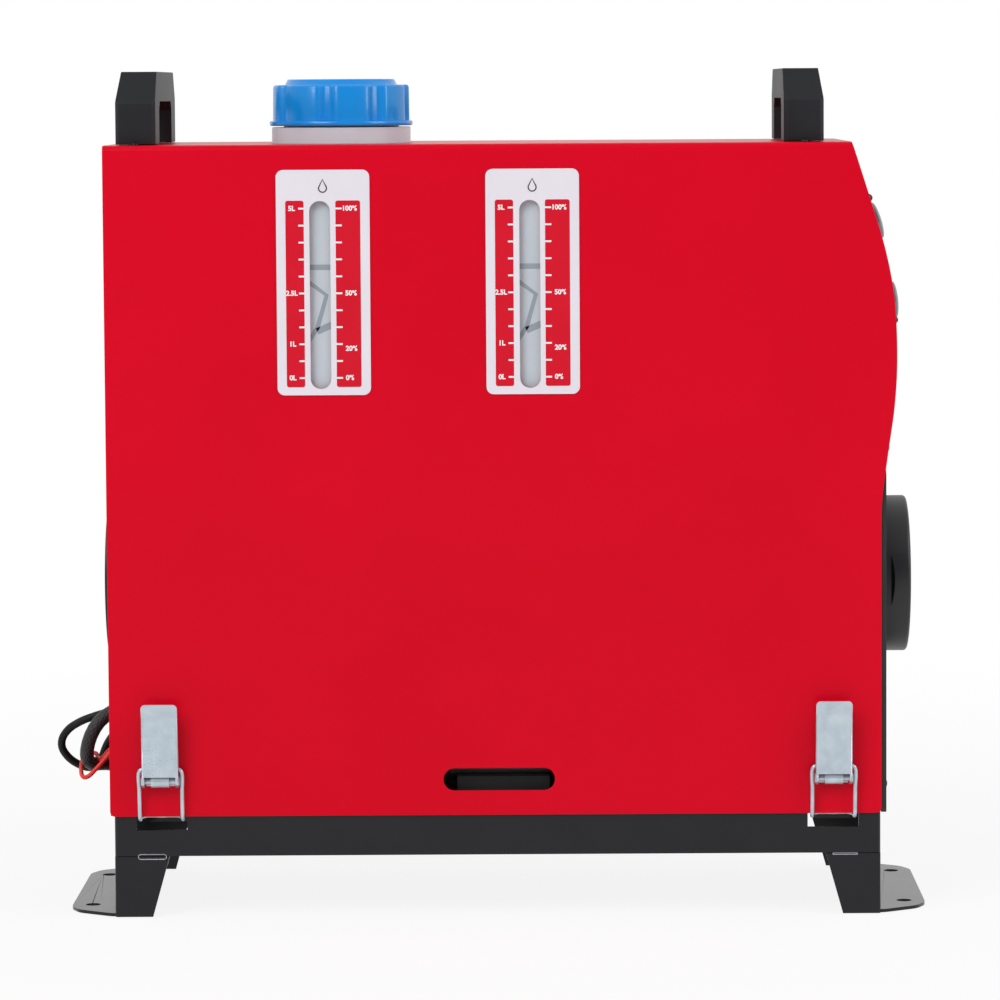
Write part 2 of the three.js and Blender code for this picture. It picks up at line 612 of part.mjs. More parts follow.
// Stand: a steel channel between the pan and the heater unit, open round both pipes.
const standLow = panTop + gap;
const standTop = outletZ - caseHalf - gap;
function heaterStand() {
  const flange = standLow + thickSheet;
  const under = standTop - thickSheet;
  const hat = outline([
    [-32.5, standLow], [-32.5, flange], [-28, flange], [-28, standTop], [48, standTop], [48, flange],
    [60, flange], [60, standLow], [46.4, standLow], [46.4, under], [-26.4, under], [-26.4, standLow],
  ]);
  return alongX(hat, -80, 110).subtract(pipeHoles(pipeRadius + 2, standLow, standTop + 5));
}
piece('heater_stand', heaterStand(), burnerSteel);
const pipeLow = 20;
const pipeHigh = outletZ - 47;
const pipe = ring(pipeRadius - 1.4, pipeRadius, pipeLow, pipeHigh, 18, 'z');
for (const [name, [x, y]] of Object.entries(pipeSpots)) {
  piece(`${name}_pipe`, pipe.translate([x, y, 0]), burnerSteel);
}

// Fuel line: dosing pump in a rubber cradle, filter, and two hoses.
const pumpProfile = [
  [0, -44], [3, -44], [3, -36], [7, -36], [7, -24], [pumpRadius, -24], [pumpRadius, 30], [9, 33],
  [7, 33], [7, 40], [3, 40], [3, 48], [0, 48],
];
piece('fuel_pump', turned(pumpProfile, 20).translate([0, pumpY, pumpZ]), burnerSteel);
const cradle = box(-20, 26, pumpY - 15, pumpY + 14.5, panTop + gap, 67.5);
const cradleSeat = rod(pumpRadius + gap, -50, 60, 20).translate([0, pumpY, pumpZ]);
piece('pump_cradle', cradle.subtract(cradleSeat), blackRubber);
const filterStart = 48 + gap;
const filterProfile = [
  [0, 0], [3.4, 0], [3.4, 9], [11, 12], [11, 40], [3.4, 43], [3.4, 52], [0, 52],
].map(([radius, along]) => [radius, along + filterStart]);
piece('fuel_filter', turned(filterProfile, 16).translate([0, pumpY, pumpZ]), tankPlastic);
const hoseRadius = 2.5;
const filterEnd = filterStart + 52 + gap;
const tankHose = [
  [nipple.x, nipple.y, tankBox.z0 - 7 - gap], [nipple.x, nipple.y, tankBox.z0 - 11], [101, -64, 227],
  [104, -66.8, 215], [108, -66.8, 180], [112, -66.8, 130], [114, -65, 98], [112, -56, 82],
  [106, pumpY, pumpZ], [filterEnd, pumpY, pumpZ],
];
piece('tank_hose', wireThrough(tankHose, hoseRadius, 8, 22), blackRubber);
const burnerHose = [
  [-44 - gap, pumpY, pumpZ], [-50, pumpY, pumpZ], [-60, -54, 79], [-68, -64, 90], [-70, -66.8, 105],
  [-70, -66.8, 140], [-70, -66.8, 150],
];
piece('burner_hose', wireThrough(burnerHose, hoseRadius, 8, 16), blackRubber);

// Cable entry, and what comes out of it.
const entryFace = grilleFace - 2.4;
const entryPlate = roundedRectangle(entry.y0, entry.y1, entry.z0, entry.z1, 8);
piece('cable_entry', alongX(entryPlate, entryFace, grilleFace), blackRubber);
const leadStart = entryFace - gap;

const harnessRoute = [
  [leadStart, 21, 88.8], [-194, 21, 88.8], [-198.4, 21.4, 87.9], [-204.6, 22, 86], [-211.4, 23, 83.3],
  [-217.6, 24.4, 79.2],
  [-221, 25.8, 74.2], [-221.3, 27.4, 69.4], [-218, 29.6, 63.8], [-212.6, 31.4, 59.9], [-208, 32, 58.6],
  [-204, 32, 60.2], [-201.4, 31.6, 64.4], [-199.6, 30.8, 69], [-197, 28.6, 73.6],
  [-193.8, 26, 77], [leadStart, 26, 77],
];
piece('pump_harness', wireThrough(harnessRoute, harnessDiameter / 2, 8, 28), blackRubber);

const redRoute = [
  [leadStart, 0, 72.4], [-192.4, 0, 72.4], [-195.6, -0.4, 69.2], [-201, -1, 63.2], [-205.4, -1.2, 58.9],
  [-207.6, -0.4, 58.2],
  [-209, 2, 59.2], [-209.7, 6, 60.4], [-210.2, 11, 61.8], [-209.6, 15.4, 65],
  [-206.4, 17.4, 67.8], [-203, 14.6, 68.2], [-201.2, 10.4, 66.2], [-199, 7, 67], [-195.6, 5.4, 70.8],
  [-193, 5, 72.6], [leadStart, 5, 72.6],
];
piece('red_wire', wireThrough(redRoute, redWireDiameter / 2, 8, 28), redWire);

// Power lead: drops past the rear corner to the floor, and lies in a coil of two layers behind the base.
const leadFloor = leadDiameter / 2 + 0.1;
const coilTurns = 2.5; // in each layer
const coilOuter = coilRadius + (coilTurns * coilPitch) / 2;
const coilStart = [coilCentre.x - 34, coilCentre.y - coilOuter, leadFloor];
const leadRoute = [
  [leadStart, 5, 90.4], [-194, 5, 90.4], [-200.2, 3.2, 85.6], [-204.2, 2.2, 79], [-206.3, 3.4, 71.9],
  [-206.6, 7.5, 66.4], [-205, 13.5, 63.2], [-201, 22.4, 62], [-196.8, 31, 60.4], [-194.2, 40.6, 55.4],
  [-193.4, 50.6, 46.5], [-193.4, 61, 34.5], [-193.2, 72, 21.5], [-191.4, 85, 10.5], [-186, 100, 4.8],
  [-177, 113, leadFloor], [-165, 123.6, leadFloor],
  [-150, coilStart[1] - 1.6, leadFloor], [-140, coilStart[1], leadFloor], coilStart,
];
piece('power_lead', wireThrough(leadRoute, leadDiameter / 2, 8, 42), blackRubber);

const coilStraight = 34;
const coilTail = 62;
const turnLength = 2 * Math.PI * coilRadius;
const wound = 2 * coilTurns * turnLength;
class CoilCurve extends THREE.Curve {
  // From the floor layer's outside inwards, up a layer, and outwards again to the tail.
  getPoint(t) {
    const along = t * (coilStraight + wound + coilTail);
    if (along < coilStraight) {
      const x = coilStart[0] + gap + (along * (coilStraight - gap)) / coilStraight;
      return new THREE.Vector3(x, coilStart[1], leadFloor);
    }
    const turn = Math.min((along - coilStraight) / turnLength, 2 * coilTurns);
    const inward = turn < coilTurns ? turn : 2 * coilTurns - turn;
    const climb = THREE.MathUtils.smoothstep(turn, coilTurns - 0.25, coilTurns + 0.25);
    const radius = coilOuter - coilPitch * inward;
    const angle = 2 * Math.PI * turn - Math.PI / 2;
    const z = leadFloor + coilPitch * climb;
    const point = new THREE.Vector3(radius * Math.cos(angle), radius * Math.sin(angle), z).add(coilCentre);
    const past = Math.max(along - coilStraight - wound, 0);
    if (past > 0) {
      point.x += past * Math.cos(angle + Math.PI / 2);
      point.y += past * Math.sin(angle + Math.PI / 2);
      point.z -= (coilPitch - 1) * THREE.MathUtils.smoothstep(past, 20, coilTail - 6);
    }
    return point;
  }
}
const coilCurve = new CoilCurve();
const coilSteps = Math.round(2 * coilTurns * 24) + 10;
piece('power_lead_coil', tube(coilCurve, leadDiameter / 2, 6, coilSteps), blackRubber);
function leastGap(curve, diameter, count) {
  const points = curve.getSpacedPoints(count);
  let least = Infinity;
  for (let i = 0; i < count; i += 1) {
    for (let j = i + 12; j <= count; j += 1) {
      least = Math.min(least, points[i].distanceTo(points[j]));
    }
  }
  return least - diameter;
}
const coilGap = leastGap(coilCurve, leadDiameter, 600);
console.log(`power_lead_coil least gap to itself: ${coilGap.toFixed(2)} mm`);

const tailEnd = coilCurve.getPoint(1);
const tailTurn = coilCurve.getTangent(1);
const lead = 6 + gap; // of the connector's sleeve past the coil's end
const connector = box(0, 26, -8, 8, -4.4, 4.6)
  .add(rod(4.2, -6, 1, 12))
  .rotate([0, 0, (Math.atan2(tailTurn.y, tailTurn.x) * 180) / Math.PI])
  .translate([tailEnd.x + lead * tailTurn.x, tailEnd.y + lead * tailTurn.y, tailEnd.z]);
piece('lead_connector', connector, blackPlastic);

export default group;
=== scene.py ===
import json
import math

import bmesh
import bpy
from mathutils import Matrix, Vector

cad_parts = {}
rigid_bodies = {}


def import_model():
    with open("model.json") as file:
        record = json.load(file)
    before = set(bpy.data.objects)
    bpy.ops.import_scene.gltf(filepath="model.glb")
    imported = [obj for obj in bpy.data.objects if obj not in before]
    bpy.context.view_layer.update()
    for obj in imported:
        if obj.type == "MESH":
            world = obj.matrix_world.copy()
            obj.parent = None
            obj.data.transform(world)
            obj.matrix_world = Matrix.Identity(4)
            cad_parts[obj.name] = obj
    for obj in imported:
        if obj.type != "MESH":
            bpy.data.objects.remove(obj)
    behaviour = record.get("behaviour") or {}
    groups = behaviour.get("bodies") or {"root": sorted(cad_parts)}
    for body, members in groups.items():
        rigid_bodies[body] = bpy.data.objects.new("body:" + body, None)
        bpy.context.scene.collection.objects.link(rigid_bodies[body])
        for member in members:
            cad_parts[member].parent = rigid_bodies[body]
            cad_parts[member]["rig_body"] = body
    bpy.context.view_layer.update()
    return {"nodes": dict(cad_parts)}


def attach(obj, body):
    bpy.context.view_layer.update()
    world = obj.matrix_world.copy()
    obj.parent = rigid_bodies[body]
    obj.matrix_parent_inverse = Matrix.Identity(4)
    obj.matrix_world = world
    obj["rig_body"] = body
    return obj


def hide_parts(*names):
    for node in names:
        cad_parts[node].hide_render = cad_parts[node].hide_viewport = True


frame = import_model()
mm = 0.001

# Camera: level with the top of the hood, square to its side, and far enough back
# that the hood's edges stay almost upright.
camera_data = bpy.data.cameras.new("camera")
camera = bpy.data.objects.new("camera", camera_data)
bpy.context.collection.objects.link(camera)
bpy.context.scene.camera = camera
camera_data.sensor_width = 36
camera_data.lens = 168.5
camera_data.shift_x = -0.04
camera_data.shift_y = -0.06
camera_data.clip_end = 60
camera_data.dof.use_dof = False
camera.location = (0.0261, -2.3241, 0.4004)
camera.rotation_mode = "QUATERNION"
camera.rotation_quaternion = (
    Matrix.Rotation(math.radians(0.112), 3, "Z")
    @ Matrix.Rotation(math.radians(90 - 4.284), 3, "X")
    @ Matrix.Rotation(math.radians(-0.326), 3, "Z")
).to_quaternion()


# Power lead: a sleeved twin cable of 7 mm that leaves the rear grommet, drops past the
# corner of the base and lies on the floor in a coil of two layers, up to its connector.
def linear(red, green, blue):
    """A display colour of 0 to 255 as the linear values that a shader takes."""
    steps = (channel / 255 for channel in (red, green, blue))
    return (*(s / 12.92 if s < 0.04 else ((s + 0.055) / 1.055) ** 2.4 for s in steps), 1.0)


def put(tree, kind, settings=None, **inputs):
    """A node in a tree. Each input is linked to a socket or set to a value, by name or as in0, in1."""
    made = tree.nodes.new(kind)
    for key, value in (settings or {}).items():
        setattr(made, key, value)
    for label, value in inputs.items():
        key = int(label[2:]) if label.startswith("in") and label[2:].isdigit() else label.replace("_", " ")
        if isinstance(value, bpy.types.NodeSocket):
            tree.links.new(value, made.inputs[key])
        else:
            made.inputs[key].default_value = value
    return made


def maths(tree, operation, *values):
    """The result of a Math node."""
    made = put(tree, "ShaderNodeMath", {"operation": operation})
    for socket, value in zip(made.inputs, values):
        if isinstance(value, bpy.types.NodeSocket):
            tree.links.new(value, socket)
        else:
            socket.default_value = value
    return made.outputs[0]


def node_group(name, kind, inputs, outputs):
    """A node group with its named sockets, what it is given and where its result goes."""
    tree = bpy.data.node_groups.new(name, kind)
    for label, socket_type, value in inputs:
        socket = tree.interface.new_socket(label, in_out="INPUT", socket_type=socket_type)
        if value is not None:
            socket.default_value = value
    for label, socket_type in outputs:
        tree.interface.new_socket(label, in_out="OUTPUT", socket_type=socket_type)
    return tree, tree.nodes.new("NodeGroupInput").outputs, tree.nodes.new("NodeGroupOutput").inputs


# Colour that drifts between two shades over the surface.
drift_group, given, result = node_group(
    "colour drift",
    "ShaderNodeTree",
    [
        ("Vector", "NodeSocketVector", None),
        ("Scale", "NodeSocketFloat", 30.0),
        ("First", "NodeSocketColor", None),
        ("Second", "NodeSocketColor", None),
    ],
    [("Color", "NodeSocketColor")],
)
cloud = put(drift_group, "ShaderNodeTexNoise", Vector=given["Vector"], Scale=given["Scale"], Detail=3.0)
spread = put(drift_group, "ShaderNodeMapRange", Value=cloud.outputs[0], From_Min=0.3, From_Max=0.7)
mixed = put(drift_group, "ShaderNodeMix", {"data_type": "RGBA"}, in0=spread.outputs[0])
drift_group.links.new(given["First"], mixed.inputs[6])
drift_group.links.new(given["Second"], mixed.inputs[7])
drift_group.links.new(mixed.outputs[2], result["Color"])

# Fine grain: its height, and a gloss that follows it and larger smudges.
grain_group, given, result = node_group(
    "grain",
    "ShaderNodeTree",
    [
        ("Vector", "NodeSocketVector", None),
        ("Scale", "NodeSocketFloat", 800.0),
        ("Roughness", "NodeSocketFloat", 0.4),
        ("Spread", "NodeSocketFloat", 0.05),
    ],
    [("Height", "NodeSocketFloat"), ("Roughness", "NodeSocketFloat")],
)
fine = put(grain_group, "ShaderNodeTexNoise", Vector=given["Vector"], Scale=given["Scale"], Detail=2.0)
smudge = put(grain_group, "ShaderNodeTexNoise", Vector=given["Vector"], Scale=22.0, Detail=4.0)
both = maths(grain_group, "ADD", fine.outputs[0], smudge.outputs[0])
offset = maths(grain_group, "MULTIPLY", maths(grain_group, "SUBTRACT", both, 1.0), given["Spread"])
grain_group.links.new(maths(grain_group, "ADD", given["Roughness"], offset), result["Roughness"])
grain_group.links.new(fine.outputs[0], result["Height"])


def grouped(tree, group, **inputs):
    """The outputs of a node group placed in a material, with its inputs linked or set."""
    return put(tree, "ShaderNodeGroup", {"node_tree": group}, **inputs).outputs


def emptied(owner):
    """The node tree of a new material or world, with nothing in it."""
    owner.use_nodes = True
    owner.node_tree.nodes.clear()
    return owner.node_tree


def finish(name, first, second, roughness, spread, grain, height, drift=30.0, **shader):
    """A material of two close display colours, with grain so many to the metre and mm high."""
    made = bpy.data.materials.new(name)
    tree = emptied(made)
    place = put(tree, "ShaderNodeTexCoord").outputs["Object"]
    shades = linear(*first), linear(*second)
    color = grouped(tree, drift_group, Vector=place, Scale=drift, First=shades[0], Second=shades[1])
    surface = grouped(tree, grain_group, Vector=place, Scale=grain, Roughness=roughness, Spread=spread)
    bump = put(tree, "ShaderNodeBump", Distance=height * mm, Height=surface["Height"])
    principled = put(
        tree,
        "ShaderNodeBsdfPrincipled",
        Base_Color=color["Color"],
        Roughness=surface["Roughness"],
        Normal=bump.outputs[0],
        **shader,
    )
    put(tree, "ShaderNodeOutputMaterial", Surface=principled.outputs[0])
    return made


def braided_sleeve(name, around, pitch):
    """A sleeve of flat strands that cross each other: how many go round it, and their pitch along it."""
    made = bpy.data.materials.new(name)
    tree = emptied(made)
    place = put(tree, "ShaderNodeUVMap", {"uv_map": "along"}).outputs[0]
    parts = put(tree, "ShaderNodeSeparateXYZ", Vector=place).outputs
    turns = maths(tree, "MULTIPLY", parts[0], around)
    runs = maths(tree, "MULTIPLY", parts[1], 1 / pitch)
    right = maths(tree, "PINGPONG", maths(tree, "ADD", turns, runs), 0.5)
    left = maths(tree, "PINGPONG", maths(tree, "SUBTRACT", turns, runs), 0.5)
    strands = maths(tree, "MAXIMUM", right, left)
    height = maths(tree, "SMOOTH_MIN", strands, 0.42, 0.1)
    # The colour darkens towards the hollows between the strands, in step with their height: painted shade in
    # the weave.
    shade = put(tree, "ShaderNodeMapRange", Value=strands, From_Min=0.12, From_Max=0.45)
    color = put(tree, "ShaderNodeMix", {"data_type": "RGBA"}, in0=shade.outputs[0])
    color.inputs[6].default_value = linear(12, 12, 13)
    color.inputs[7].default_value = linear(36, 36, 38)
    bump = put(tree, "ShaderNodeBump", Distance=0.5 * mm, Height=height)
    principled = put(
        tree,
        "ShaderNodeBsdfPrincipled",
        Base_Color=color.outputs[2],
        Roughness=0.5,
        Normal=bump.outputs[0],
        Sheen_Weight=0.05,
    )
    put(tree, "ShaderNodeOutputMaterial", Surface=principled.outputs[0])
    return made


def smooth(piece, angle=32):
    """Smooth shading that keeps the edges sharper than an angle."""
    piece.data.shade_smooth()
    piece.data.set_sharp_from_angle(angle=math.radians(angle))
    return piece


def piece_from(name, shape, material, replaces=(), body="heater_body", angle=32):
    """A bmesh or mesh made a finished piece: its slot, the CAD nodes it replaces, the body it rides."""
    if isinstance(shape, bmesh.types.BMesh):
        mesh = bpy.data.meshes.new(name)
        shape.to_mesh(mesh)
        shape.free()
    else:
        mesh = shape
    made = bpy.data.objects.new(name, mesh)
    bpy.context.collection.objects.link(made)
    if material is not None:
        mesh.materials.clear()
        mesh.materials.append(material)
    smooth(made, angle)
    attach(made, body)
    if replaces:
        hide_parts(*replaces)
    return made


def between(a, slope_a, b, slope_b, t):
    """The point at a share t of the cubic from a to b that has the given slopes at its ends."""
    return (
        (2 * t**3 - 3 * t**2 + 1) * a
        + (t**3 - 2 * t**2 + t) * slope_a
        + (3 * t**2 - 2 * t**3) * b
        + (t**3 - t**2) * slope_b
    )


def curve_through(points, step=0.003):
    """Points about one step apart on the smooth line through the given ones."""
    given_points = [Vector(p) * mm for p in points]
    first, last = given_points[0], given_points[-1]
    ends = [2 * first - given_points[1], *given_points, 2 * last - given_points[-2]]
    line = []
    for a, b, c, d in zip(ends, ends[1:], ends[2:], ends[3:]):
        before, span, after = ((q - p).length ** 0.5 for p, q in ((a, b), (b, c), (c, d)))
        start = ((b - a) / before - (c - a) / (before + span) + (c - b) / span) * span
        end = ((c - b) / span - (d - b) / (span + after) + (d - c) / after) * span
        count = max(2, round((c - b).length / step))
        line += [between(b, start, c, end, i / count) for i in range(count)]
    return [*line, last]


def tube(path, radius, sides=16):
    """A closed round tube along a path, with a UV map of turns round it and metres along it."""
    bm = bmesh.new()
    uv = bm.loops.layers.uv.new("along")
    normal = (path[1] - path[0]).orthogonal()
    rings, lengths = [], [0.0]
    for i, centre in enumerate(path):
        tangent = (path[min(i + 1, len(path) - 1)] - path[max(i - 1, 0)]).normalized()
        normal = (normal - tangent * normal.dot(tangent)).normalized()
        side = tangent.cross(normal)
        if i:
            lengths.append(lengths[-1] + (centre - path[i - 1]).length)
        turns = (2 * math.pi * k / sides for k in range(sides))
        rings.append(
            [bm.verts.new(centre + radius * (math.cos(t) * normal + math.sin(t) * side)) for t in turns]
        )
    for i in range(len(rings) - 1):
        for k in range(sides):
            n = (k + 1) % sides
            face = bm.faces.new((rings[i][k], rings[i][n], rings[i + 1][n], rings[i + 1][k]))
            corners = ((k, i), (k + 1, i), (k + 1, i + 1), (k, i + 1))
            for loop, (around, along) in zip(face.loops, corners):
                loop[uv].uv = (around / sides, lengths[along])
    bm.faces.new(rings[0][::-1])
    bm.faces.new(rings[-1])
    return bm


lead_diameter = 7
lead_exit = (-190.8, 5, 90.4)
lead_start = lead_exit[0]
lead_floor = 3.6
coil_centre = Vector((-98, 184, 0))
coil_radius, coil_pitch, layer_turns = 41.0, 7.7, 2.5
coil_outer = coil_radius + layer_turns * coil_pitch / 2
coil_start = (coil_centre.x - 34, coil_centre.y - coil_outer, lead_floor)
lead_run = [
    lead_exit, (-194, 5, 90.4), (-200.2, 3.2, 85.6), (-204.2, 2.2, 79), (-206.3, 3.4, 71.9),
    (-206.6, 7.5, 66.4), (-205, 13.5, 63.2), (-201, 22.4, 62), (-196.8, 31, 60.4), (-194.2, 40.6, 55.4),
    (-193.4, 50.6, 46.5), (-193.4, 61, 34.5), (-193.2, 72, 21.5), (-191.4, 85, 10.5), (-186, 100, 4.8),
    (-177, 113, lead_floor), (-165, 123.6, lead_floor), (-150, coil_start[1] - 1.6, lead_floor),
    (-140, coil_start[1], lead_floor), coil_start,
]


def eased(value, low, high):
    """How far a value has come from low to high, from 0 to 1 with a soft start and end."""
    t = min(max((value - low) / (high - low), 0), 1)
    return t * t * (3 - 2 * t)


def coil_path(turn_steps=48):
    """The coil: inwards on the floor, up a layer, outwards again, and off on a short tail."""
    straight, tail = 34.0, 62.0
    turn_length = 2 * math.pi * coil_radius
    wound = 2 * layer_turns * turn_length
    total = straight + wound + tail
    count = round(2 * layer_turns * turn_steps * total / wound)
    line = []
    for i in range(count + 1):
        along = total * i / count
        if along < straight:
            line.append(Vector((coil_start[0] + along, coil_start[1], lead_floor)))
            continue
        turn = min((along - straight) / turn_length, 2 * layer_turns)
        inward = turn if turn < layer_turns else 2 * layer_turns - turn
        radius = coil_outer - coil_pitch * inward
        angle = 2 * math.pi * turn - math.pi / 2
        height = lead_floor + coil_pitch * eased(turn, layer_turns - 0.25, layer_turns + 0.25)
        point = coil_centre + Vector((radius * math.cos(angle), radius * math.sin(angle), height))
        past = max(along - straight - wound, 0)
        point += past * Vector((-math.sin(angle), math.cos(angle), 0))
        point.z -= (coil_pitch - 1) * eased(past, 20, tail - 6)
        line.append(point)
    return line


lead_path = curve_through(lead_run, 0.004) + [p * mm for p in coil_path()[1:]]
lead_sleeve = braided_sleeve("braided sleeve", 12, 3.4 * mm)
lead_shape = tube(lead_path, lead_diameter / 2 * mm, 20)
power_cable = piece_from(
    "power_cable", lead_shape, lead_sleeve, ["power_lead", "power_lead_coil"]
)


# Connector on the power lead: a two-way housing with a boot, moulded in black plastic on the
# lead's end. The mould leaves its edges rounded.
def merged_copy(node):
    """A CAD node's shape with its loose triangles joined and its flat faces whole."""
    bm = bmesh.new()
    bm.from_mesh(frame["nodes"][node].data)
    bmesh.ops.remove_doubles(bm, verts=bm.verts, dist=0.004 * mm)
    bmesh.ops.dissolve_limit(bm, angle_limit=math.radians(0.6), verts=bm.verts, edges=bm.edges)
    return bm


def settle(piece):
    """Makes what a piece's modifiers show its own plain mesh."""
    graph = bpy.context.evaluated_depsgraph_get()
    shown = piece.evaluated_get(graph)
    mesh = bpy.data.meshes.new_from_object(shown, preserve_all_data_layers=True, depsgraph=graph)
    piece.modifiers.clear()
    piece.data = mesh
    return piece


def soften(piece, width, segments=2):
    """Rounds the edges sharper than 30 degrees, and shades the flat faces flat."""
    bevel = piece.modifiers.new("edges", "BEVEL")
    bevel.width = width * mm
    bevel.segments = segments
    bevel.limit_method = "ANGLE"
    bevel.angle_limit = math.radians(30)
    bevel.miter_outer = "MITER_ARC"
    settle(piece)
    smooth(piece)
    even = piece.modifiers.new("even shading", "WEIGHTED_NORMAL")
    even.keep_sharp = True
    even.weight = 100
    return settle(piece)


def in_place_of(node, suffix, shape, material):
    """A piece that takes the place of one CAD node, on its body and with its slot."""
    body = frame["nodes"][node]["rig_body"]
    return piece_from(f"{node}_{suffix}", shape, material, [node], body)


def dressed(node, material, width, segments=2, rounds=()):
    """A CAD node's shape with softened edges. Each round is a test for edges, a width and segments."""
    bm = merged_copy(node)
    for test, round_width, round_segments in rounds:
        edges = [e for e in bm.edges if test(*(v.co / mm for v in e.verts))]
        bmesh.ops.bevel(
            bm, geom=edges, offset=round_width * mm, segments=round_segments, profile=0.5, affect="EDGES"
        )
    made = in_place_of(node, "dressed", bm, material)
    return soften(made, width, segments) if width else made


moulded_black = finish(
    "moulded black plastic", (24, 24, 27), (31, 31, 35), 0.42, 0.12, 1400, 0.012
)
connector = dressed("lead_connector", moulded_black, 0.7, 3)

# Two short loops beside the lead: the pump's harness in a smooth black jacket of 4 mm and one
# red insulated wire of 2.2 mm. Both leave the grommet and go back into it.
black_jacket = finish(
    "black cable jacket", (15, 15, 16), (20, 20, 21), 0.5, 0.1, 500, 0.02, Specular_IOR_Level=0.25
)
red_insulation = finish(
    "red wire insulation", (214, 28, 22), (232, 48, 36), 0.32, 0.06, 700, 0.01
)
harness_run = [
    (lead_start, 21, 88.8), (-194, 21, 88.8), (-198.4, 21.4, 87.9), (-204.6, 22, 86), (-211.4, 23, 83.3),
    (-217.6, 24.4, 79.2), (-221, 25.8, 74.2), (-221.3, 27.4, 69.4), (-218, 29.6, 63.8),
    (-212.6, 31.4, 59.9), (-208, 32, 58.6), (-204, 32, 60.2), (-201.4, 31.6, 64.4), (-199.6, 30.8, 69),
    (-197, 28.6, 73.6), (-193.8, 26, 77), (lead_start, 26, 77),
]
red_run = [
    (lead_start, 0, 72.4), (-192.4, 0, 72.4), (-195.6, -0.4, 69.2), (-201, -1, 63.2), (-205.4, -1.2, 58.9),
    (-207.6, -0.4, 58.2), (-209, 2, 59.2), (-209.7, 6, 60.4), (-210.2, 11, 61.8), (-209.6, 15.4, 65),
    (-206.4, 17.4, 67.8), (-203, 14.6, 68.2), (-201.2, 10.4, 66.2), (-199, 7, 67), (-195.6, 5.4, 70.8),
    (-193, 5, 72.6), (lead_start, 5, 72.6),
]
for name, run, diameter, material, slot in (
    ("pump_harness", harness_run, 4.0, black_jacket, "black_rubber"),
    ("red_wire", red_run, 2.2, red_insulation, "red_insulation"),
):
    path = curve_through(run, 0.0015)
    loop = piece_from(f"{name}_loop", tube(path, diameter / 2 * mm), material, [name])


# Grommet: a rubber plate pressed into the rear panel, with a short tapered collar round each
# lead where it comes out.
def turned(profile, segments, origin=(0, 0, 0), toward="X"):
    """A turned shape. The profile is a list of (radius, place along the axis) in mm, from one end to
    the other, or closed when it ends where it starts."""
    bm = bmesh.new()
    closed = profile[0] == profile[-1]
    rings = []
    for radius, along in profile[:-1] if closed else profile:
        if radius == 0:
            rings.append([bm.verts.new((0, 0, along))] * segments)
            continue
        angles = (2 * math.pi * i / segments for i in range(segments))
        rings.append([bm.verts.new((radius * math.cos(a), radius * math.sin(a), along)) for a in angles])
    for lower, upper in zip(rings, [*rings[1:], rings[0]] if closed else rings[1:]):
        for i in range(segments):
            corners = [lower[i], lower[i - 1], upper[i - 1], upper[i]]
            face = list(dict.fromkeys(corners))
            if len(face) > 2:
                bm.faces.new(face)
    turn = {
        "X": Matrix.Rotation(math.pi / 2, 3, "Y"),
        "-X": Matrix.Rotation(-math.pi / 2, 3, "Y"),
        "Z": Matrix.Identity(3),
    }[toward]
    bm.transform(Matrix.Translation(Vector(origin) * mm) @ (turn * mm).to_4x4())
    bmesh.ops.recalc_face_normals(bm, faces=bm.faces)
    return bm


soft_rubber = finish("soft black rubber", (20, 20, 21), (33, 33, 34), 0.62, 0.12, 900, 0.03)
dressed("cable_entry", soft_rubber, 0.8, 3)
for i, (y, z, radius) in enumerate(
    ((5, 90.4, 3.5), (21, 88.8, 2), (26, 77, 2), (0, 72.4, 1.1), (5, 72.6, 1.1))
):
    collar = [
        (radius + 0.1, 0), (radius + 1.9, 0), (radius + 1.7, 0.9), (radius + 1.2, 1.2),
        (radius + 1.4, 1.5), (radius + 1.1, 2.4), (radius + 0.3, 3.1), (radius + 0.1, 3.1),
        (radius + 0.1, 0),
    ]
    shape = turned(collar, 28, (-190.5, y, z), "-X")
    piece_from(f"grommet_collar_{i}", shape, soft_rubber)


# Hood: one sheet of 1.2 mm steel bent over the top, with cheeks that bulge at the front. Level
# windows, vent slots and the filler hole are punched, and the whole is powder coated in red.
hood_back, hood_low, hood_top, hood_half, hood_bend = -188.0, 49.4, 374.6, 72.5, 3.0
sheet = 1.2
cheek_points = [
    (172.4, 374.6), (181.7, 345.4), (188.6, 322), (192.8, 299), (194.1, 272), (193, 248.5),
    (189.8, 225), (187, 203.6), (186.5, 190), (186.5, 170),
]


def rounded(points, steps=10):
    """The smooth plane curve through points, with even parameter steps."""
    last = len(points) - 1
    line = []
    for i in range(last * steps + 1):
        place = min(i // steps, last - 1)
        t = i / steps - place
        a, b, c, d = (Vector(points[min(max(place + k, 0), last)]) for k in (-1, 0, 1, 2))
        line.append(between(b, (c - a) / 2, c, (d - b) / 2, t))
    return line


cheek_line = rounded(cheek_points)


def cheek_at(z):
    """The place and the outward direction (x, z) of the cheek's front edge at a height."""
    for upper, lower in zip(cheek_line, cheek_line[1:]):
        if lower.y <= z:
            break
    z = max(z, lower.y)
    t = (upper.y - z) / (upper.y - lower.y)
    along = (lower - upper).normalized()
    return upper.lerp(lower, t).x, Vector((-along.y, along.x))


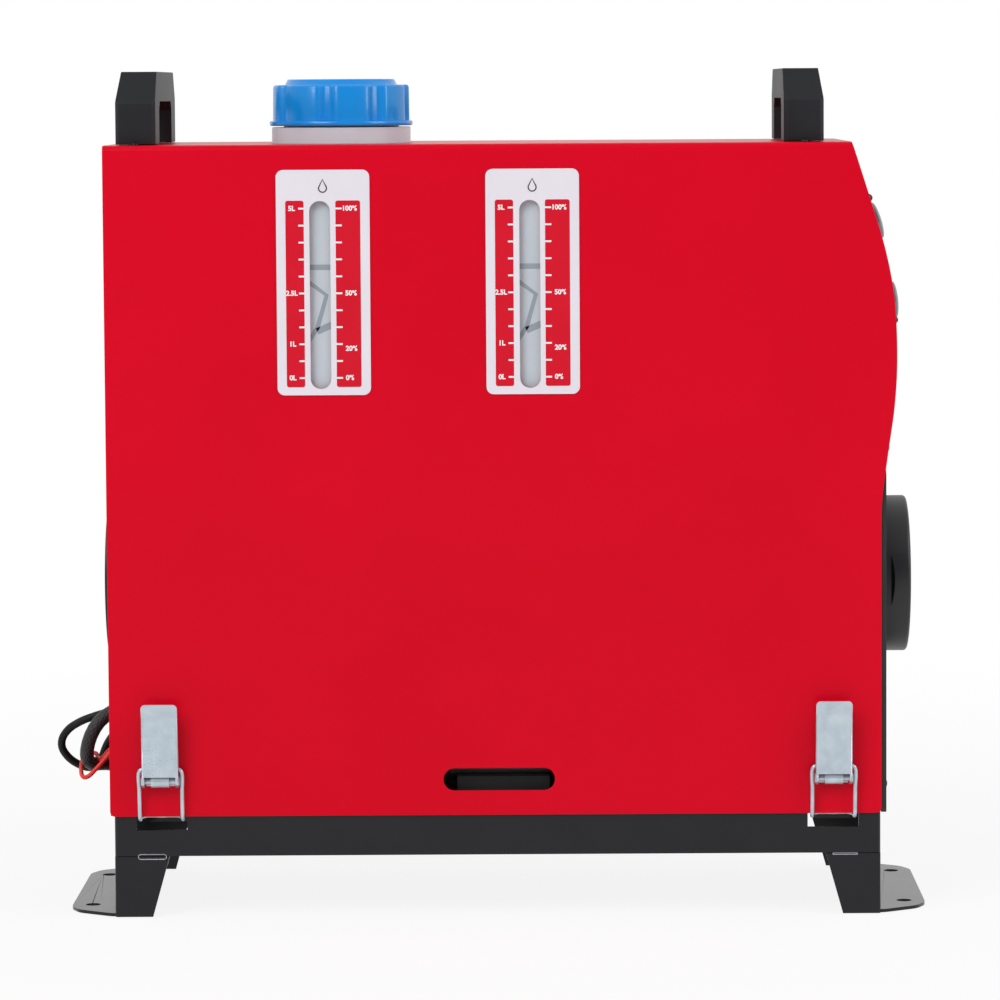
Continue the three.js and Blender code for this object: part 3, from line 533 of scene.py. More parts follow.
def stadium(x0, x1, z0, z1, y0, y1, radius, steps=12):
    """A plate with round corners that stands across the Y axis, in mm."""
    corners = [
        (x1 - radius, z0 + radius, -90), (x1 - radius, z1 - radius, 0),
        (x0 + radius, z1 - radius, 90), (x0 + radius, z0 + radius, 180),
    ]
    outline = [
        (x + radius * math.cos(math.radians(a + 90 * i / steps)),
         z + radius * math.sin(math.radians(a + 90 * i / steps)))
        for x, z, a in corners
        for i in range(steps + 1)
    ]
    bm = bmesh.new()
    near = [bm.verts.new((x * mm, y0 * mm, z * mm)) for x, z in outline]
    far = [bm.verts.new((x * mm, y1 * mm, z * mm)) for x, z in outline]
    bm.faces.new(near)
    bm.faces.new(far[::-1])
    for i in range(len(near)):
        bm.faces.new((near[i - 1], far[i - 1], far[i], near[i]))
    bmesh.ops.remove_doubles(bm, verts=bm.verts, dist=1e-7)
    bmesh.ops.recalc_face_normals(bm, faces=bm.faces)
    return bm


def carve(piece, *cutters):
    """Cuts shapes out of a piece."""
    for shape in cutters:
        mesh = bpy.data.meshes.new("cutter")
        shape.to_mesh(mesh)
        shape.free()
        cutter = bpy.data.objects.new("cutter", mesh)
        bpy.context.collection.objects.link(cutter)
        cut = piece.modifiers.new("cut", "BOOLEAN")
        cut.operation = "DIFFERENCE"
        cut.solver = "EXACT"
        cut.object = cutter
        settle(piece)
        bpy.data.objects.remove(cutter)
    return piece


def hood_sheet():
    """The outside of the bent sheet: two cheeks, two bends and the top."""
    front_low = 186.5
    corner = 2.5
    bm = bmesh.new()
    arc = [math.radians(90 * i / 6) for i in range(7)]
    rises = [(corner * (1 - math.cos(a)), hood_low + corner * (1 - math.sin(a))) for a in arc]
    low_back = [(hood_back + x, z) for x, z in rises]
    low_front = [(front_low - x, z) for x, z in rises]
    bend_start = hood_top - hood_bend
    edge = [(p.x, p.y) for p in cheek_line if p.y < bend_start]
    bend_front = (cheek_at(bend_start)[0], bend_start)
    cheek = [(hood_back, bend_start), *low_back, *low_front[::-1], *edge[::-1], bend_front]
    rails = {}
    for side in (-1, 1):
        corners = [bm.verts.new((x, side * hood_half, z)) for x, z in cheek]
        bm.faces.new(corners if side < 0 else corners[::-1])
        rail = [(corners[0], corners[-1])]
        for i in range(1, 9):
            a = math.radians(90 * i / 8)
            y = side * (hood_half - hood_bend * (1 - math.cos(a)))
            z = bend_start + hood_bend * math.sin(a)
            rail.append((bm.verts.new((hood_back, y, z)), bm.verts.new((cheek_at(z)[0], y, z))))
        rails[side] = rail
    strip = rails[-1] + rails[1][::-1]
    for (back, front), (next_back, next_front) in zip(strip, strip[1:]):
        bm.faces.new((back, front, next_front, next_back))
    bmesh.ops.remove_doubles(bm, verts=bm.verts, dist=1e-4)
    bmesh.ops.recalc_face_normals(bm, faces=bm.faces)
    bm.transform(Matrix.Scale(mm, 4))
    return bm


red_powder = finish(
    "red powder coat", (206, 0, 30), (212, 0, 33), 0.3, 0.05, 420, 0.012, 9.0, Specular_IOR_Level=0.1
)
hood = piece_from("hood", hood_sheet(), red_powder, ["hood_shell"])
wall = hood.modifiers.new("wall", "SOLIDIFY")
wall.thickness = sheet * mm
wall.offset = -1
wall.use_even_offset = True
settle(hood)
window_x, window_half = {"rear": -83.6, "front": 17.3}, 5
filler_x = -76.0
cutters = [
    stadium(x - window_half, x + window_half, 257, 347.5, -80, -65, window_half - 0.05)
    for x in window_x.values()
]
cutters.append(stadium(-26, 28, 61.4, 72.2, -80, 80, 5.3))
cutters.append(turned([(0, 360), (35.4, 360), (35.4, 380), (0, 380)], 96, (filler_x, 0, 0), "Z"))
carve(hood, *cutters)
soften(hood, 0.35, 3)

# Rear panel: a shallow tray of the same red sheet that closes the hood behind, screwed to its
# cheeks, with the round opening of the blower's air inlet.
dressed("rear_panel", red_powder, 0.35)

# Grilles: moulded guards of rings and spokes, one over the inlet behind and one inside the
# outlet. Rings and spokes are laid out by one tree.
def shape_tree(name, **sizes):
    """A Geometry Nodes tree with a named input for each size, and one for its material."""
    kinds = {int: "NodeSocketInt", float: "NodeSocketFloat"}
    inputs = [(label.replace("_", " "), kinds[type(value)], value) for label, value in sizes.items()]
    return node_group(
        name,
        "GeometryNodeTree",
        [("Geometry", "NodeSocketGeometry", None), *inputs, ("Material", "NodeSocketMaterial", None)],
        [("Geometry", "NodeSocketGeometry")],
    )


def end_tree(tree, geometry, given, result):
    """Makes a tree's instances real, gives them the material and passes them on."""
    real = put(tree, "GeometryNodeRealizeInstances", Geometry=geometry)
    painted = put(tree, "GeometryNodeSetMaterial", Geometry=real.outputs[0], Material=given["Material"])
    tree.links.new(painted.outputs[0], result["Geometry"])


guard_tree, given, result = shape_tree(
    "ring guard",
    Rim_inner=0.04,
    Rim_outer=0.047,
    Rings=3,
    First_ring=0.014,
    Spokes=8,
    Bar=0.0024,
    Depth=0.003,
)


def hoop(tree, radius, width, depth, resolution=96):
    """A ring of square bar about the Z axis, as the geometry of a swept circle."""
    circle = put(tree, "GeometryNodeCurvePrimitiveCircle", Resolution=resolution, Radius=radius)
    section = put(tree, "GeometryNodeCurvePrimitiveQuadrilateral", Width=depth, Height=width)
    return put(
        tree, "GeometryNodeCurveToMesh", Curve=circle.outputs[0], Profile_Curve=section.outputs[0]
    ).outputs[0]


rim_width = maths(guard_tree, "SUBTRACT", given["Rim outer"], given["Rim inner"])
rim_sum = maths(guard_tree, "ADD", given["Rim outer"], given["Rim inner"])
rim_radius = maths(guard_tree, "DIVIDE", rim_sum, 2.0)
rim = hoop(guard_tree, rim_radius, rim_width, given["Depth"])
# Concentric rings: each turn of the repeat adds a hoop one gap wider than the last.
ring_room = maths(guard_tree, "SUBTRACT", given["Rim inner"], given["First ring"])
ring_gap = maths(guard_tree, "DIVIDE", ring_room, given["Rings"])
repeat_in = guard_tree.nodes.new("GeometryNodeRepeatInput")
repeat_out = guard_tree.nodes.new("GeometryNodeRepeatOutput")
repeat_in.pair_with_output(repeat_out)
repeat_out.repeat_items.new("INT", "Index")
guard_tree.links.new(given["Rings"], repeat_in.inputs["Iterations"])
guard_tree.links.new(rim, repeat_in.inputs["Geometry"])
step = maths(guard_tree, "MULTIPLY", repeat_in.outputs["Index"], ring_gap)
ring_radius = maths(guard_tree, "ADD", given["First ring"], step)
ring_bar = hoop(guard_tree, ring_radius, given["Bar"], given["Depth"], 72)
joined = put(guard_tree, "GeometryNodeJoinGeometry")
guard_tree.links.new(repeat_in.outputs["Geometry"], joined.inputs[0])
guard_tree.links.new(ring_bar, joined.inputs[0])
guard_tree.links.new(joined.outputs[0], repeat_out.inputs["Geometry"])
guard_tree.links.new(maths(guard_tree, "ADD", repeat_in.outputs["Index"], 1.0), repeat_out.inputs["Index"])
hub = put(
    guard_tree,
    "GeometryNodeMeshCylinder",
    Vertices=40,
    Radius=maths(guard_tree, "MULTIPLY", given["First ring"], 0.55),
    Depth=given["Depth"],
)
spots = put(guard_tree, "GeometryNodePoints", Count=given["Spokes"])
spoke_end = maths(guard_tree, "ADD", given["Rim inner"], 0.001)
spoke_depth = maths(guard_tree, "MULTIPLY", given["Depth"], 0.9)
size = put(guard_tree, "ShaderNodeCombineXYZ", X=spoke_end, Y=given["Bar"], Z=spoke_depth)
bar = put(guard_tree, "GeometryNodeMeshCube", Size=size.outputs[0])
shift = put(guard_tree, "ShaderNodeCombineXYZ", X=maths(guard_tree, "DIVIDE", spoke_end, 2.0))
moved = put(guard_tree, "GeometryNodeTransform", Geometry=bar.outputs[0], Translation=shift.outputs[0])
index = put(guard_tree, "GeometryNodeInputIndex").outputs[0]
spoke_turn = maths(guard_tree, "DIVIDE", 2 * math.pi, given["Spokes"])
angle = maths(guard_tree, "MULTIPLY", index, spoke_turn)
turn = put(guard_tree, "ShaderNodeCombineXYZ", Z=angle)
spokes = put(
    guard_tree,
    "GeometryNodeInstanceOnPoints",
    Points=spots.outputs[0],
    Instance=moved.outputs[0],
    Rotation=turn.outputs[0],
)
whole = put(guard_tree, "GeometryNodeJoinGeometry")
for part in (spokes.outputs[0], hub.outputs[0], repeat_out.outputs["Geometry"]):
    guard_tree.links.new(part, whole.inputs[0])
end_tree(guard_tree, whole.outputs[0], given, result)


def grown(name, tree, values, matrix, replaces=(), mesh=None):
    """What a Geometry Nodes tree makes, as a plain mesh put in place."""
    grower = bpy.data.objects.new("grower", mesh or bpy.data.meshes.new("grower"))
    bpy.context.collection.objects.link(grower)
    modifier = grower.modifiers.new("tree", "NODES")
    modifier.node_group = tree
    for label, value in values.items():
        modifier[tree.interface.items_tree[label].identifier] = value
    mesh = settle(grower).data
    bpy.data.objects.remove(grower)
    mesh.transform(matrix)
    return piece_from(name, mesh, None, replaces)


outlet_z = 159.0
facing_x = Matrix.Rotation(math.pi / 2, 4, "Y")
for name, x, rim_inner, rim_outer, ring_count, first_ring, spoke_count, depth in (
    ("rear_grille", -188.85, 41, 47, 3, 13, 8, 1.4),
    ("outlet_guard", 180.5, 29.5, 32.8, 2, 11, 5, 2.9),
):
    sizes = {
        "Rim inner": rim_inner * mm,
        "Rim outer": rim_outer * mm,
        "Rings": ring_count,
        "First ring": first_ring * mm,
        "Spokes": spoke_count,
        "Bar": 2.4 * mm,
        "Depth": depth * mm,
        "Material": moulded_black,
    }
    there = Matrix.Translation((x * mm, 0, outlet_z * mm)) @ facing_x
    grille = grown(f"{name}_bars", guard_tree, sizes, there, [name])
    soften(grille, 0.3)

# Front panel: a black moulding that fills the front, follows the cheeks' bulge and stands a
# little proud below it. The grain is that of a spark-eroded mould.
panel_black = finish("grained black panel", (27, 27, 30), (34, 34, 38), 0.5, 0.1, 1800, 0.03)
dressed("front_panel", panel_black, 0.5, 3)

# Control panel: a bezel with four keys in round pockets, a display and a lamp. The keys are
# silver-lacquered domes with plain printed signs, and the display shows a temperature.
dressed("control_bezel", moulded_black, 0.4)
green_lacquer = finish("lacquered board", (24, 84, 52), (34, 96, 60), 0.3, 0.1, 300, 0.05)
dressed("controller_board", green_lacquer, 0.2)
key_silver = finish(
    "silver key lacquer", (118, 120, 126), (130, 132, 138), 0.32, 0.08, 2600, 0.006, Metallic=0.6
)
print_white = finish("white print", (240, 238, 240), (232, 230, 234), 0.5, 0.04, 600, 0.004)
print_dark = finish("dark print", (30, 32, 36), (38, 40, 44), 0.5, 0.04, 600, 0.004)


def on_bezel(y, z, distance):
    """The frame of a place on the bulge: X to the right and Y up along the face, Z out of it."""
    x, out = cheek_at(z)
    normal = Vector((out.x, 0, out.y))
    right = Vector((0, 1, 0))
    turn = Matrix((right, normal.cross(right), normal)).transposed().to_4x4()
    return Matrix.Translation((Vector((x, y, z)) + normal * distance) * mm) @ turn @ Matrix.Scale(mm, 4)


def flat_stroke(points, width, closed=False):
    """A flat line of constant width in the XY plane, in mm."""
    bm = bmesh.new()
    points = [Vector(p) for p in points]
    count = len(points)
    pairs = []
    for i, point in enumerate(points):
        before = points[i - 1] if closed or i else point
        after = points[(i + 1) % count] if closed or i < count - 1 else point
        along = (after - before).normalized()
        side = Vector((-along.y, along.x)) * width / 2
        pairs.append([bm.verts.new((*(point + s * side), 0)) for s in (1, -1)])
    for (a, b), (c, d) in zip(pairs, pairs[1:] + (pairs[:1] if closed else [])):
        bm.faces.new((a, b, d, c))
    return bm


def arc_points(radius, start, end, count=24):
    """Points on an arc about the origin, from one angle in degrees to another."""
    angles = [math.radians(start + (end - start) * i / count) for i in range(count + 1)]
    return [(radius * math.cos(a), radius * math.sin(a)) for a in angles]


def merge_shapes(shapes):
    """Several shapes as one."""
    whole = bmesh.new()
    for shape in shapes:
        mesh = bpy.data.meshes.new("part")
        shape.to_mesh(mesh)
        shape.free()
        whole.from_mesh(mesh)
        bpy.data.meshes.remove(mesh)
    return whole


signs = {
    "power": [flat_stroke(arc_points(2.7, -240, 60), 0.55), flat_stroke([(0, 0.8), (0, 3.5)], 0.55)],
    "menu": [flat_stroke([(-2.7, y), (2.7, y)], 0.6) for y in (-1.9, 0, 1.9)],
    "down": [flat_stroke([(-2.6, 1.2), (0, -1.6), (2.6, 1.2)], 0.7)],
    "up": [flat_stroke([(-2.6, -1.2), (0, 1.6), (2.6, -1.2)], 0.7)],
}
key_spots = {"power": (-34, 335), "menu": (34, 335), "down": (-34, 296.5), "up": (34, 296.5)}
key_profile = [
    (9.0, -0.4), (9.0, 2.3), (8.85, 2.7), (8.3, 3.1), (7.0, 3.55), (5.0, 3.9), (2.8, 4.12), (0, 4.2),
]
key_top, key_roundness = key_profile[-1][1], 0.009


def turned_on_bezel(profile, segments, y, z):
    """A turned shape that stands on the bulge, square to its face."""
    shape = turned(profile, segments)
    shape.transform(Matrix.Scale(1 / mm, 4) @ facing_x.inverted())
    shape.transform(on_bezel(y, z, 0))
    return shape


for name, (y, z) in key_spots.items():
    node = f"{name}_button"
    key = turned_on_bezel([(0, -0.4), *key_profile], 64, y, z)
    bmesh.ops.recalc_face_normals(key, faces=key.faces)
    piece_from(f"{name}_key", key, key_silver, [node], node)
    sign = merge_shapes(signs[name])
    for v in sign.verts:
        v.co.z = key_top - (v.co.x**2 + v.co.y**2) * key_roundness + 0.03
    sign.transform(on_bezel(y, z, 0))
    piece_from(f"{name}_sign", sign, print_dark, (), node)


def lettering(name, words, height, matrix, material, align="CENTER", bold=0.0):
    """Words in the plane of a frame, as a thin flat mesh."""
    font = bpy.data.curves.new(name, "FONT")
    font.body = words
    font.size = height
    font.align_x = align
    font.align_y = "CENTER"
    font.offset = bold
    font.resolution_u = 4
    made = bpy.data.objects.new(name, font)
    bpy.context.collection.objects.link(made)
    graph = bpy.context.evaluated_depsgraph_get()
    mesh = bpy.data.meshes.new_from_object(made.evaluated_get(graph), depsgraph=graph)
    bpy.data.objects.remove(made)
    mesh.transform(matrix)
    return piece_from(name, mesh, material)


screen_glass = finish(
    "display cover",
    (10, 16, 20),
    (13, 20, 25),
    0.08,
    0.02,
    300,
    0.002,
    Coat_Weight=0.6,
    Coat_Roughness=0.03,
)
display_lit = finish("display digits", (176, 214, 226), (164, 204, 218), 0.35, 0.03, 900, 0.002)
dressed("lcd_screen", screen_glass, 0.2)
screen_top = 1.42  # the cover's face above the bulge
for name, words, height, y, z, bold in (
    ("display_digits", "20", 19, -3.5, 314.5, 0.25), ("display_unit", "°C", 6.5, 12.5, 319, 0.0)
):
    there = on_bezel(y, z, screen_top + 0.04)
    lettering(name, words, height, there, display_lit, bold=bold)
for i in range(5):
    bar_sign = flat_stroke([(0, 0), (0, 1.2 + 0.9 * i)], 1.5)
    bar_sign.transform(on_bezel(-7 + 2.6 * i, 298, screen_top + 0.02))
    piece_from(f"display_bar_{i}", bar_sign, display_lit)
lamp_profile = [(0, 0.4), (1.6, 0.4), (1.6, 0.9), (1.3, 1.5), (0.7, 1.9), (0, 2.0)]
lamp = turned_on_bezel(lamp_profile, 28, 0, 346.7)
piece_from("indicator_lamp", lamp, key_silver)

# Outlet collar: a round black moulding for the warm-air duct, flared behind the front panel. Its
# rims are rounded, and two flats with sloping ends seat the duct's clip.
collar_profile = [
    (33.4, 202.7), (33.4, 176), (56.5, 152), (58.6, 152), (36.6, 174), (35, 176.5), (35, 189.2),
    (38.7, 189.2), (38.7, 201.9), (38.55, 202.5), (38.2, 203.0), (37.6, 203.35), (36.8, 203.5),
    (34.2, 203.5), (33.7, 203.3), (33.4, 202.7),
]
spigot = turned(collar_profile, 128, (0, 0, outlet_z))
outlet = piece_from("outlet_spigot", spigot, moulded_black, ["outlet_collar"])


def wedge(side):
    """A flat with a sloping end, cut across the spigot."""
    bm = bmesh.new()
    plan = [(189.0, 36.6), (193.8, 36.6), (195.9, 39.2), (189.0, 39.2)]
    low, high = (
        [bm.verts.new((x * mm, side * y * mm, z * mm)) for x, y in plan]
        for z in (outlet_z - 15, outlet_z + 15)
    )
    bm.faces.new(low)
    bm.faces.new(high[::-1])
    for i in range(4):
        bm.faces.new((low[i - 1], high[i - 1], high[i], low[i]))
    bmesh.ops.recalc_face_normals(bm, faces=bm.faces)
    return bm


carve(outlet, wedge(-1), wedge(1))
smooth(outlet, 28)

# Base pan and leg brackets: pressed steel in satin black powder coat. The pan's skirt has a slot
# for each latch, and the brackets end in foot flanges with screw holes.
black_powder = finish(
    "black powder coat", (20, 20, 24), (25, 25, 29), 0.22, 0.06, 600, 0.012, Specular_IOR_Level=0.3
)
dressed("base_pan", black_powder, 0.35, 3)
bracket_x, flange_x, base_half = 186.1, 187, 71


def flange_corner(a, b):
    """The upright edges at the foot flange's corners."""
    upright = abs(a.x - b.x) < 0.01 and abs(a.y - b.y) < 0.01
    return upright and abs(a.x) > flange_x and max(a.z, b.z) < 3


def leg_bend(a, b):
    """The upright bends between a bracket's end plate and its wings."""
    upright = abs(a.x - b.x) < 0.01 and abs(a.z - b.z) > 1
    return upright and abs(abs(a.x) - bracket_x) < 0.01 and abs(abs(a.y) - base_half) < 0.01


for end in ("front", "rear"):
    dressed(f"leg_bracket_{end}", black_powder, 0, rounds=[(flange_corner, 3.0, 5), (leg_bend, 1.2, 4)])

# Fasteners: blackened pan-head screws with cross recesses, in the handles, the panels, the
# bezel, the grille and the leg brackets. One tree sets a head at each spot, square to its face.
screw_tree, given, result = shape_tree("pan-head screws", Radius=0.003, Height=0.002)
ball = put(screw_tree, "GeometryNodeMeshUVSphere", Segments=28, Rings=14, Radius=1.0)
box_cut = put(screw_tree, "GeometryNodeMeshCube", Size=(3, 3, 2))
lower_half = put(screw_tree, "GeometryNodeTransform", Geometry=box_cut.outputs[0], Translation=(0, 0, -1))
blades = [put(screw_tree, "GeometryNodeMeshCube", Size=s) for s in ((1.15, 0.22, 1.0), (0.22, 1.15, 1.0))]
recess = put(screw_tree, "GeometryNodeJoinGeometry")
for blade in blades:
    raised = put(screw_tree, "GeometryNodeTransform", Geometry=blade.outputs[0], Translation=(0, 0, 1.05))
    screw_tree.links.new(raised.outputs[0], recess.inputs[0])
cut_low = put(screw_tree, "GeometryNodeMeshBoolean", {"operation": "DIFFERENCE"}, Mesh_1=ball.outputs[0])
screw_tree.links.new(lower_half.outputs[0], cut_low.inputs["Mesh 2"])
cut_cross = put(screw_tree, "GeometryNodeMeshBoolean", {"operation": "DIFFERENCE"}, Mesh_1=cut_low.outputs[0])
screw_tree.links.new(recess.outputs[0], cut_cross.inputs["Mesh 2"])
scale = put(screw_tree, "ShaderNodeCombineXYZ", X=given["Radius"], Y=given["Radius"], Z=given["Height"])
head = put(screw_tree, "GeometryNodeTransform", Geometry=cut_cross.outputs[0], Scale=scale.outputs[0])
facing = put(screw_tree, "GeometryNodeInputNamedAttribute", {"data_type": "FLOAT_VECTOR"}, Name="way")
way = facing.outputs["Attribute"]
aligned = put(screw_tree, "FunctionNodeAlignRotationToVector", {"axis": "Z"}, Vector=way)
placed = put(
    screw_tree,
    "GeometryNodeInstanceOnPoints",
    Points=given["Geometry"],
    Instance=head.outputs[0],
    Rotation=aligned.outputs[0],
)
end_tree(screw_tree, placed.outputs[0], given, result)


def spots_mesh(spots):
    """A vertex at each place, with the way it faces as an attribute."""
    mesh = bpy.data.meshes.new("spots")
    mesh.from_pydata([Vector(place) * mm for place, way in spots], [], [])
    ways = mesh.attributes.new("way", "FLOAT_VECTOR", "POINT")
    for row, (place, way) in zip(ways.data, spots):
        row.vector = Vector(way).normalized()
    return mesh


black_screw = finish(
    "blackened steel", (34, 34, 38), (48, 48, 52), 0.36, 0.1, 900, 0.01, Metallic=0.75
)


def cheek_spots(z, half):
    """Two spots on the bulge, one at each side, with the way that they face."""
    x, way = cheek_at(z)
    return [((x, side * half, z), (way.x, 0, way.y)) for side in (-1, 1)]


handle_x = {"front": 149.8, "rear": -172.8}
grille_angles = [math.radians(45 + 90 * i) for i in range(4)]
for name, radius, height, spots in (
    (
        "handle_screws", 1.9, 1.6,
        [((x, y, hood_top), (0, 0, 1)) for x in handle_x.values() for y in (-65.6, 65.6)],
    ),
    (
        "rear_panel_screws", 3.0, 0.7,
        [((-187.8, y, z), (-1, 0, 0)) for z in (70, 215, 360) for y in (-60, 60)],
    ),
    (
        "grille_screws", 1.9, 0.5,
        [((-189.6, 44 * math.cos(a), outlet_z + 44 * math.sin(a)), (-1, 0, 0)) for a in grille_angles],
    ),
    (
        "front_panel_screws", 2.2, 1.2,
        cheek_spots(226, 60) + [((188.9, y, 62), (1, 0, 0)) for y in (-60, 60)],
    ),
    ("bezel_screws", 2.2, 2.7, cheek_spots(346.7, 47) + cheek_spots(287.5, 47)),
    (
        "bracket_screws", 4.0, 2.2,
        [((end * bracket_x, y, 15), (end, 0, 0)) for end in (-1, 1) for y in (-34, 34)],
    ),
):
    sizes = {"Radius": radius * mm, "Height": height * mm, "Material": black_screw}
    grown(name, screw_tree, sizes, Matrix.Identity(4), mesh=spots_mesh(spots))

# Reliefs at the seam of base and brackets: two narrow openings. Thin loops of pale metal round them
# are a painted highlight of the rims where they catch the light.
# Pale metal for the painted highlights on the reliefs' rims.
edge_highlight_steel = finish(
    "steel edge highlight", (176, 180, 186), (196, 200, 206), 0.3, 0.08, 1500, 0.006, Metallic=1.0
)
for name, x0, x1, low, high in (
    ("rear", -174.6, -161.0, 28.3, 30.7), ("front", 162.9, 174.8, 29.0, 29.7)
):
    middle, radius = (low + high) / 2, (high - low) / 2
    rim = []
    for centre, start in ((x1 - radius, -90), (x0 + radius, 90)):
        half_turn = arc_points(radius, start, start + 180, 12)
        rim += [(centre + x, -base_half - 0.05, middle + z) for x, z in half_turn]
    path = [Vector(point) * mm for point in [*rim, rim[0]]]
    piece_from(f"relief_highlight_rim_{name}", tube(path, 0.25 * mm, 10), edge_highlight_steel)

# Handles: black moulded bridges over the hood's two ends, with bevelled shoulders and a chamfer
# down each corner, screwed through the top sheet.
handle_black = finish(
    "handle plastic", (26, 27, 30), (32, 33, 37), 0.5, 0.08, 1500, 0.012, Specular_IOR_Level=0.25
)
for place, x in handle_x.items():

    def corner(a, b, x=x):
        """The upright corners of the handle's ends."""
        upright = abs(a.y) > 61.9 and abs(b.y) > 61.9 and abs(a.z - b.z) > 5
        return upright and all(abs(abs(p.x - x) - 9.7) < 0.05 for p in (a, b))

    dressed(f"handle_{place}", handle_black, 0.4, 3, rounds=[(corner, 1.6, 1)])

# Fuel tank: blow-moulded in natural polyethylene, with a flat boss behind each level window. The shade
# in its stiffening grooves is painted on each boss as darker lines.
translucency = {"Subsurface_Weight": 0.15, "Subsurface_Scale": 0.01}
tank_skin = finish(
    "natural tank plastic", (200, 211, 219), (208, 218, 225), 0.36, 0.06, 500, 0.02, 14.0, **translucency
)
dressed("fuel_tank", tank_skin, 1.0, 3)
facing_near = Matrix.Rotation(math.pi / 2, 4, "X")
# A darker tone of the tank plastic, for the painted shade in the grooves.
painted_groove_shade = finish("tank groove", (150, 163, 172), (158, 170, 179), 0.45, 0.06, 500, 0.02)
for place, x in window_x.items():
    boss = stadium(x - 8, x + 8, 250, 354, -69.2, -67.3, 6)
    piece_from(f"tank_boss_{place}", boss, tank_skin)
    # Dark flat lines along each boss's grooves: painted shade, not relief.
    bends = [(x - 6.5, 309), (x + 2.8, 302), (x - 1.6, 286.5), (x - 6.5, 279)]
    branch = [(x - 1.9, 284.6), (x + 6.5, 288.2)]
    level = [(x - 6.5, 315.5), (x + 6.5, 315.5)]
    groove = merge_shapes([flat_stroke(level, 2.6), flat_stroke(bends, 2.1), flat_stroke(branch, 3.2)])
    groove.transform(Matrix.Translation((0, -69.26 * mm, 0)) @ facing_near @ Matrix.Scale(mm, 4))
    piece_from(f"tank_groove_shade_{place}", groove, painted_groove_shade)

# Filler cap: a moulded cap of eight round-cornered lobes over a thin flange, with a raised disc,
# screwed on the tank's neck over a rubber seal.
cap_blue = finish("glossy blue plastic", (6, 136, 218), (14, 144, 226), 0.22, 0.05, 300, 0.008)


def lobed(radius, inset, angle):
    """The cap's radius at an angle, less where a groove parts two lobes."""
    nearest = (angle - math.radians(-100.6) + math.pi / 8) % (math.pi / 4) - math.pi / 8
    near = max(0.0, 1 - abs(nearest) / 0.16)
    dip = 2.6 * min(1.0, near * 1.7) ** 1.6
    return radius - inset - dip


def cap_body():
    """The cap as a hollow shape: its rows are height, radius, inset of the lobes, and lobed or round."""
    rows = [
        (385.0, 33.8, 0.0, 1), (385.8, 33.8, 0.0, 1), (401.9, 33.6, 0.0, 1), (402.6, 33.6, 0.25, 1),
        (403.05, 33.6, 0.7, 1), (403.2, 33.6, 1.4, 1), (403.2, 28.0, 0, 0), (403.4, 27.6, 0, 0),
        (405.3, 26.7, 0, 0), (405.8, 26.4, 0, 0), (406.0, 25.8, 0, 0), (406.0, 0, 0, 0),
        (402.0, 0, 0, 0), (402.0, 29.6, 0, 0), (385.0, 29.6, 0, 0),
    ]
    segments = 192
    bm = bmesh.new()
    rings = []
    for z, radius, inset, wavy in rows:
        if radius == 0:
            rings.append([bm.verts.new((filler_x * mm, 0, z * mm))] * segments)
            continue
        ring = []
        for i in range(segments):
            a = 2 * math.pi * i / segments
            r = lobed(radius, inset, a) if wavy else radius
            ring.append(bm.verts.new(((filler_x + r * math.cos(a)) * mm, r * math.sin(a) * mm, z * mm)))
        rings.append(ring)
    for lower, upper in zip(rings, [*rings[1:], rings[0]]):
        for i in range(segments):
            face = list(dict.fromkeys([lower[i - 1], lower[i], upper[i], upper[i - 1]]))
            if len(face) > 2:
                bm.faces.new(face)
    bmesh.ops.recalc_face_normals(bm, faces=bm.faces)
    return bm


piece_from("cap_lobes", cap_body(), cap_blue, ["filler_cap"], "filler_cap", 40)
brim = [
    (29.6, 383.1), (34.7, 383.1), (35.15, 383.3), (35.4, 383.8), (35.4, 384.8), (35.15, 385.3),
    (34.7, 385.5), (29.6, 385.5), (29.6, 383.1),
]
flange = turned(brim, 128, (filler_x, 0, 0), "Z")
piece_from("cap_flange", flange, cap_blue, (), "filler_cap")
seal = [
    (24.2, 398.3), (28.3, 398.3), (28.5, 398.6), (28.5, 401.4), (28.3, 401.7), (24.2, 401.7),
    (24.0, 401.4), (24.0, 398.6), (24.2, 398.3),
]
ring = turned(seal, 96, (filler_x, 0, 0), "Z")
piece_from("cap_seal_ring", ring, soft_rubber, ["cap_seal"], "cap_seal")

# Level labels: printed film round each window, with a coloured strip on both sides, and a scale
# of litres on one and of shares of the tank on the other.
film = finish("label film", (222, 217, 225), (226, 221, 229), 0.34, 0.05, 700, 0.006)
print_red = finish(
    "red print", (204, 8, 36), (210, 12, 40), 0.36, 0.05, 700, 0.006, Specular_IOR_Level=0.2
)
tick_tree, given, result = shape_tree(
    "scale ticks", Count=11, Pitch=0.008156, Length=0.003, Thickness=0.00085
)
pitch = put(tick_tree, "ShaderNodeCombineXYZ", Z=maths(tick_tree, "MULTIPLY", given["Pitch"], -1.0))
steps = {"Count": given["Count"], "Offset": pitch.outputs[0]}
line = put(tick_tree, "GeometryNodeMeshLine", {"mode": "OFFSET"}, **steps)
tick_size = {"Size_X": given["Length"], "Size_Y": given["Thickness"]}
tick = put(tick_tree, "GeometryNodeMeshGrid", **tick_size, Vertices_X=2, Vertices_Y=2)
upright = put(tick_tree, "GeometryNodeTransform", Geometry=tick.outputs[0], Rotation=(math.pi / 2, 0, 0))
row = put(tick_tree, "GeometryNodeInstanceOnPoints", Points=line.outputs[0], Instance=upright.outputs[0])
end_tree(tick_tree, row.outputs[0], given, result)
label_face = -hood_half - 0.6


def on_label(x, z):
    """The frame of a place just off the label: X to the right and Y up, in mm."""
    place = Vector((x, label_face - 0.1, z)) * mm
    return Matrix.Translation(place) @ facing_near @ Matrix.Scale(mm, 4)


label_x = {"rear": -82.1, "front": 18.6}
top_tick, tick_pitch = 343.9, 8.156
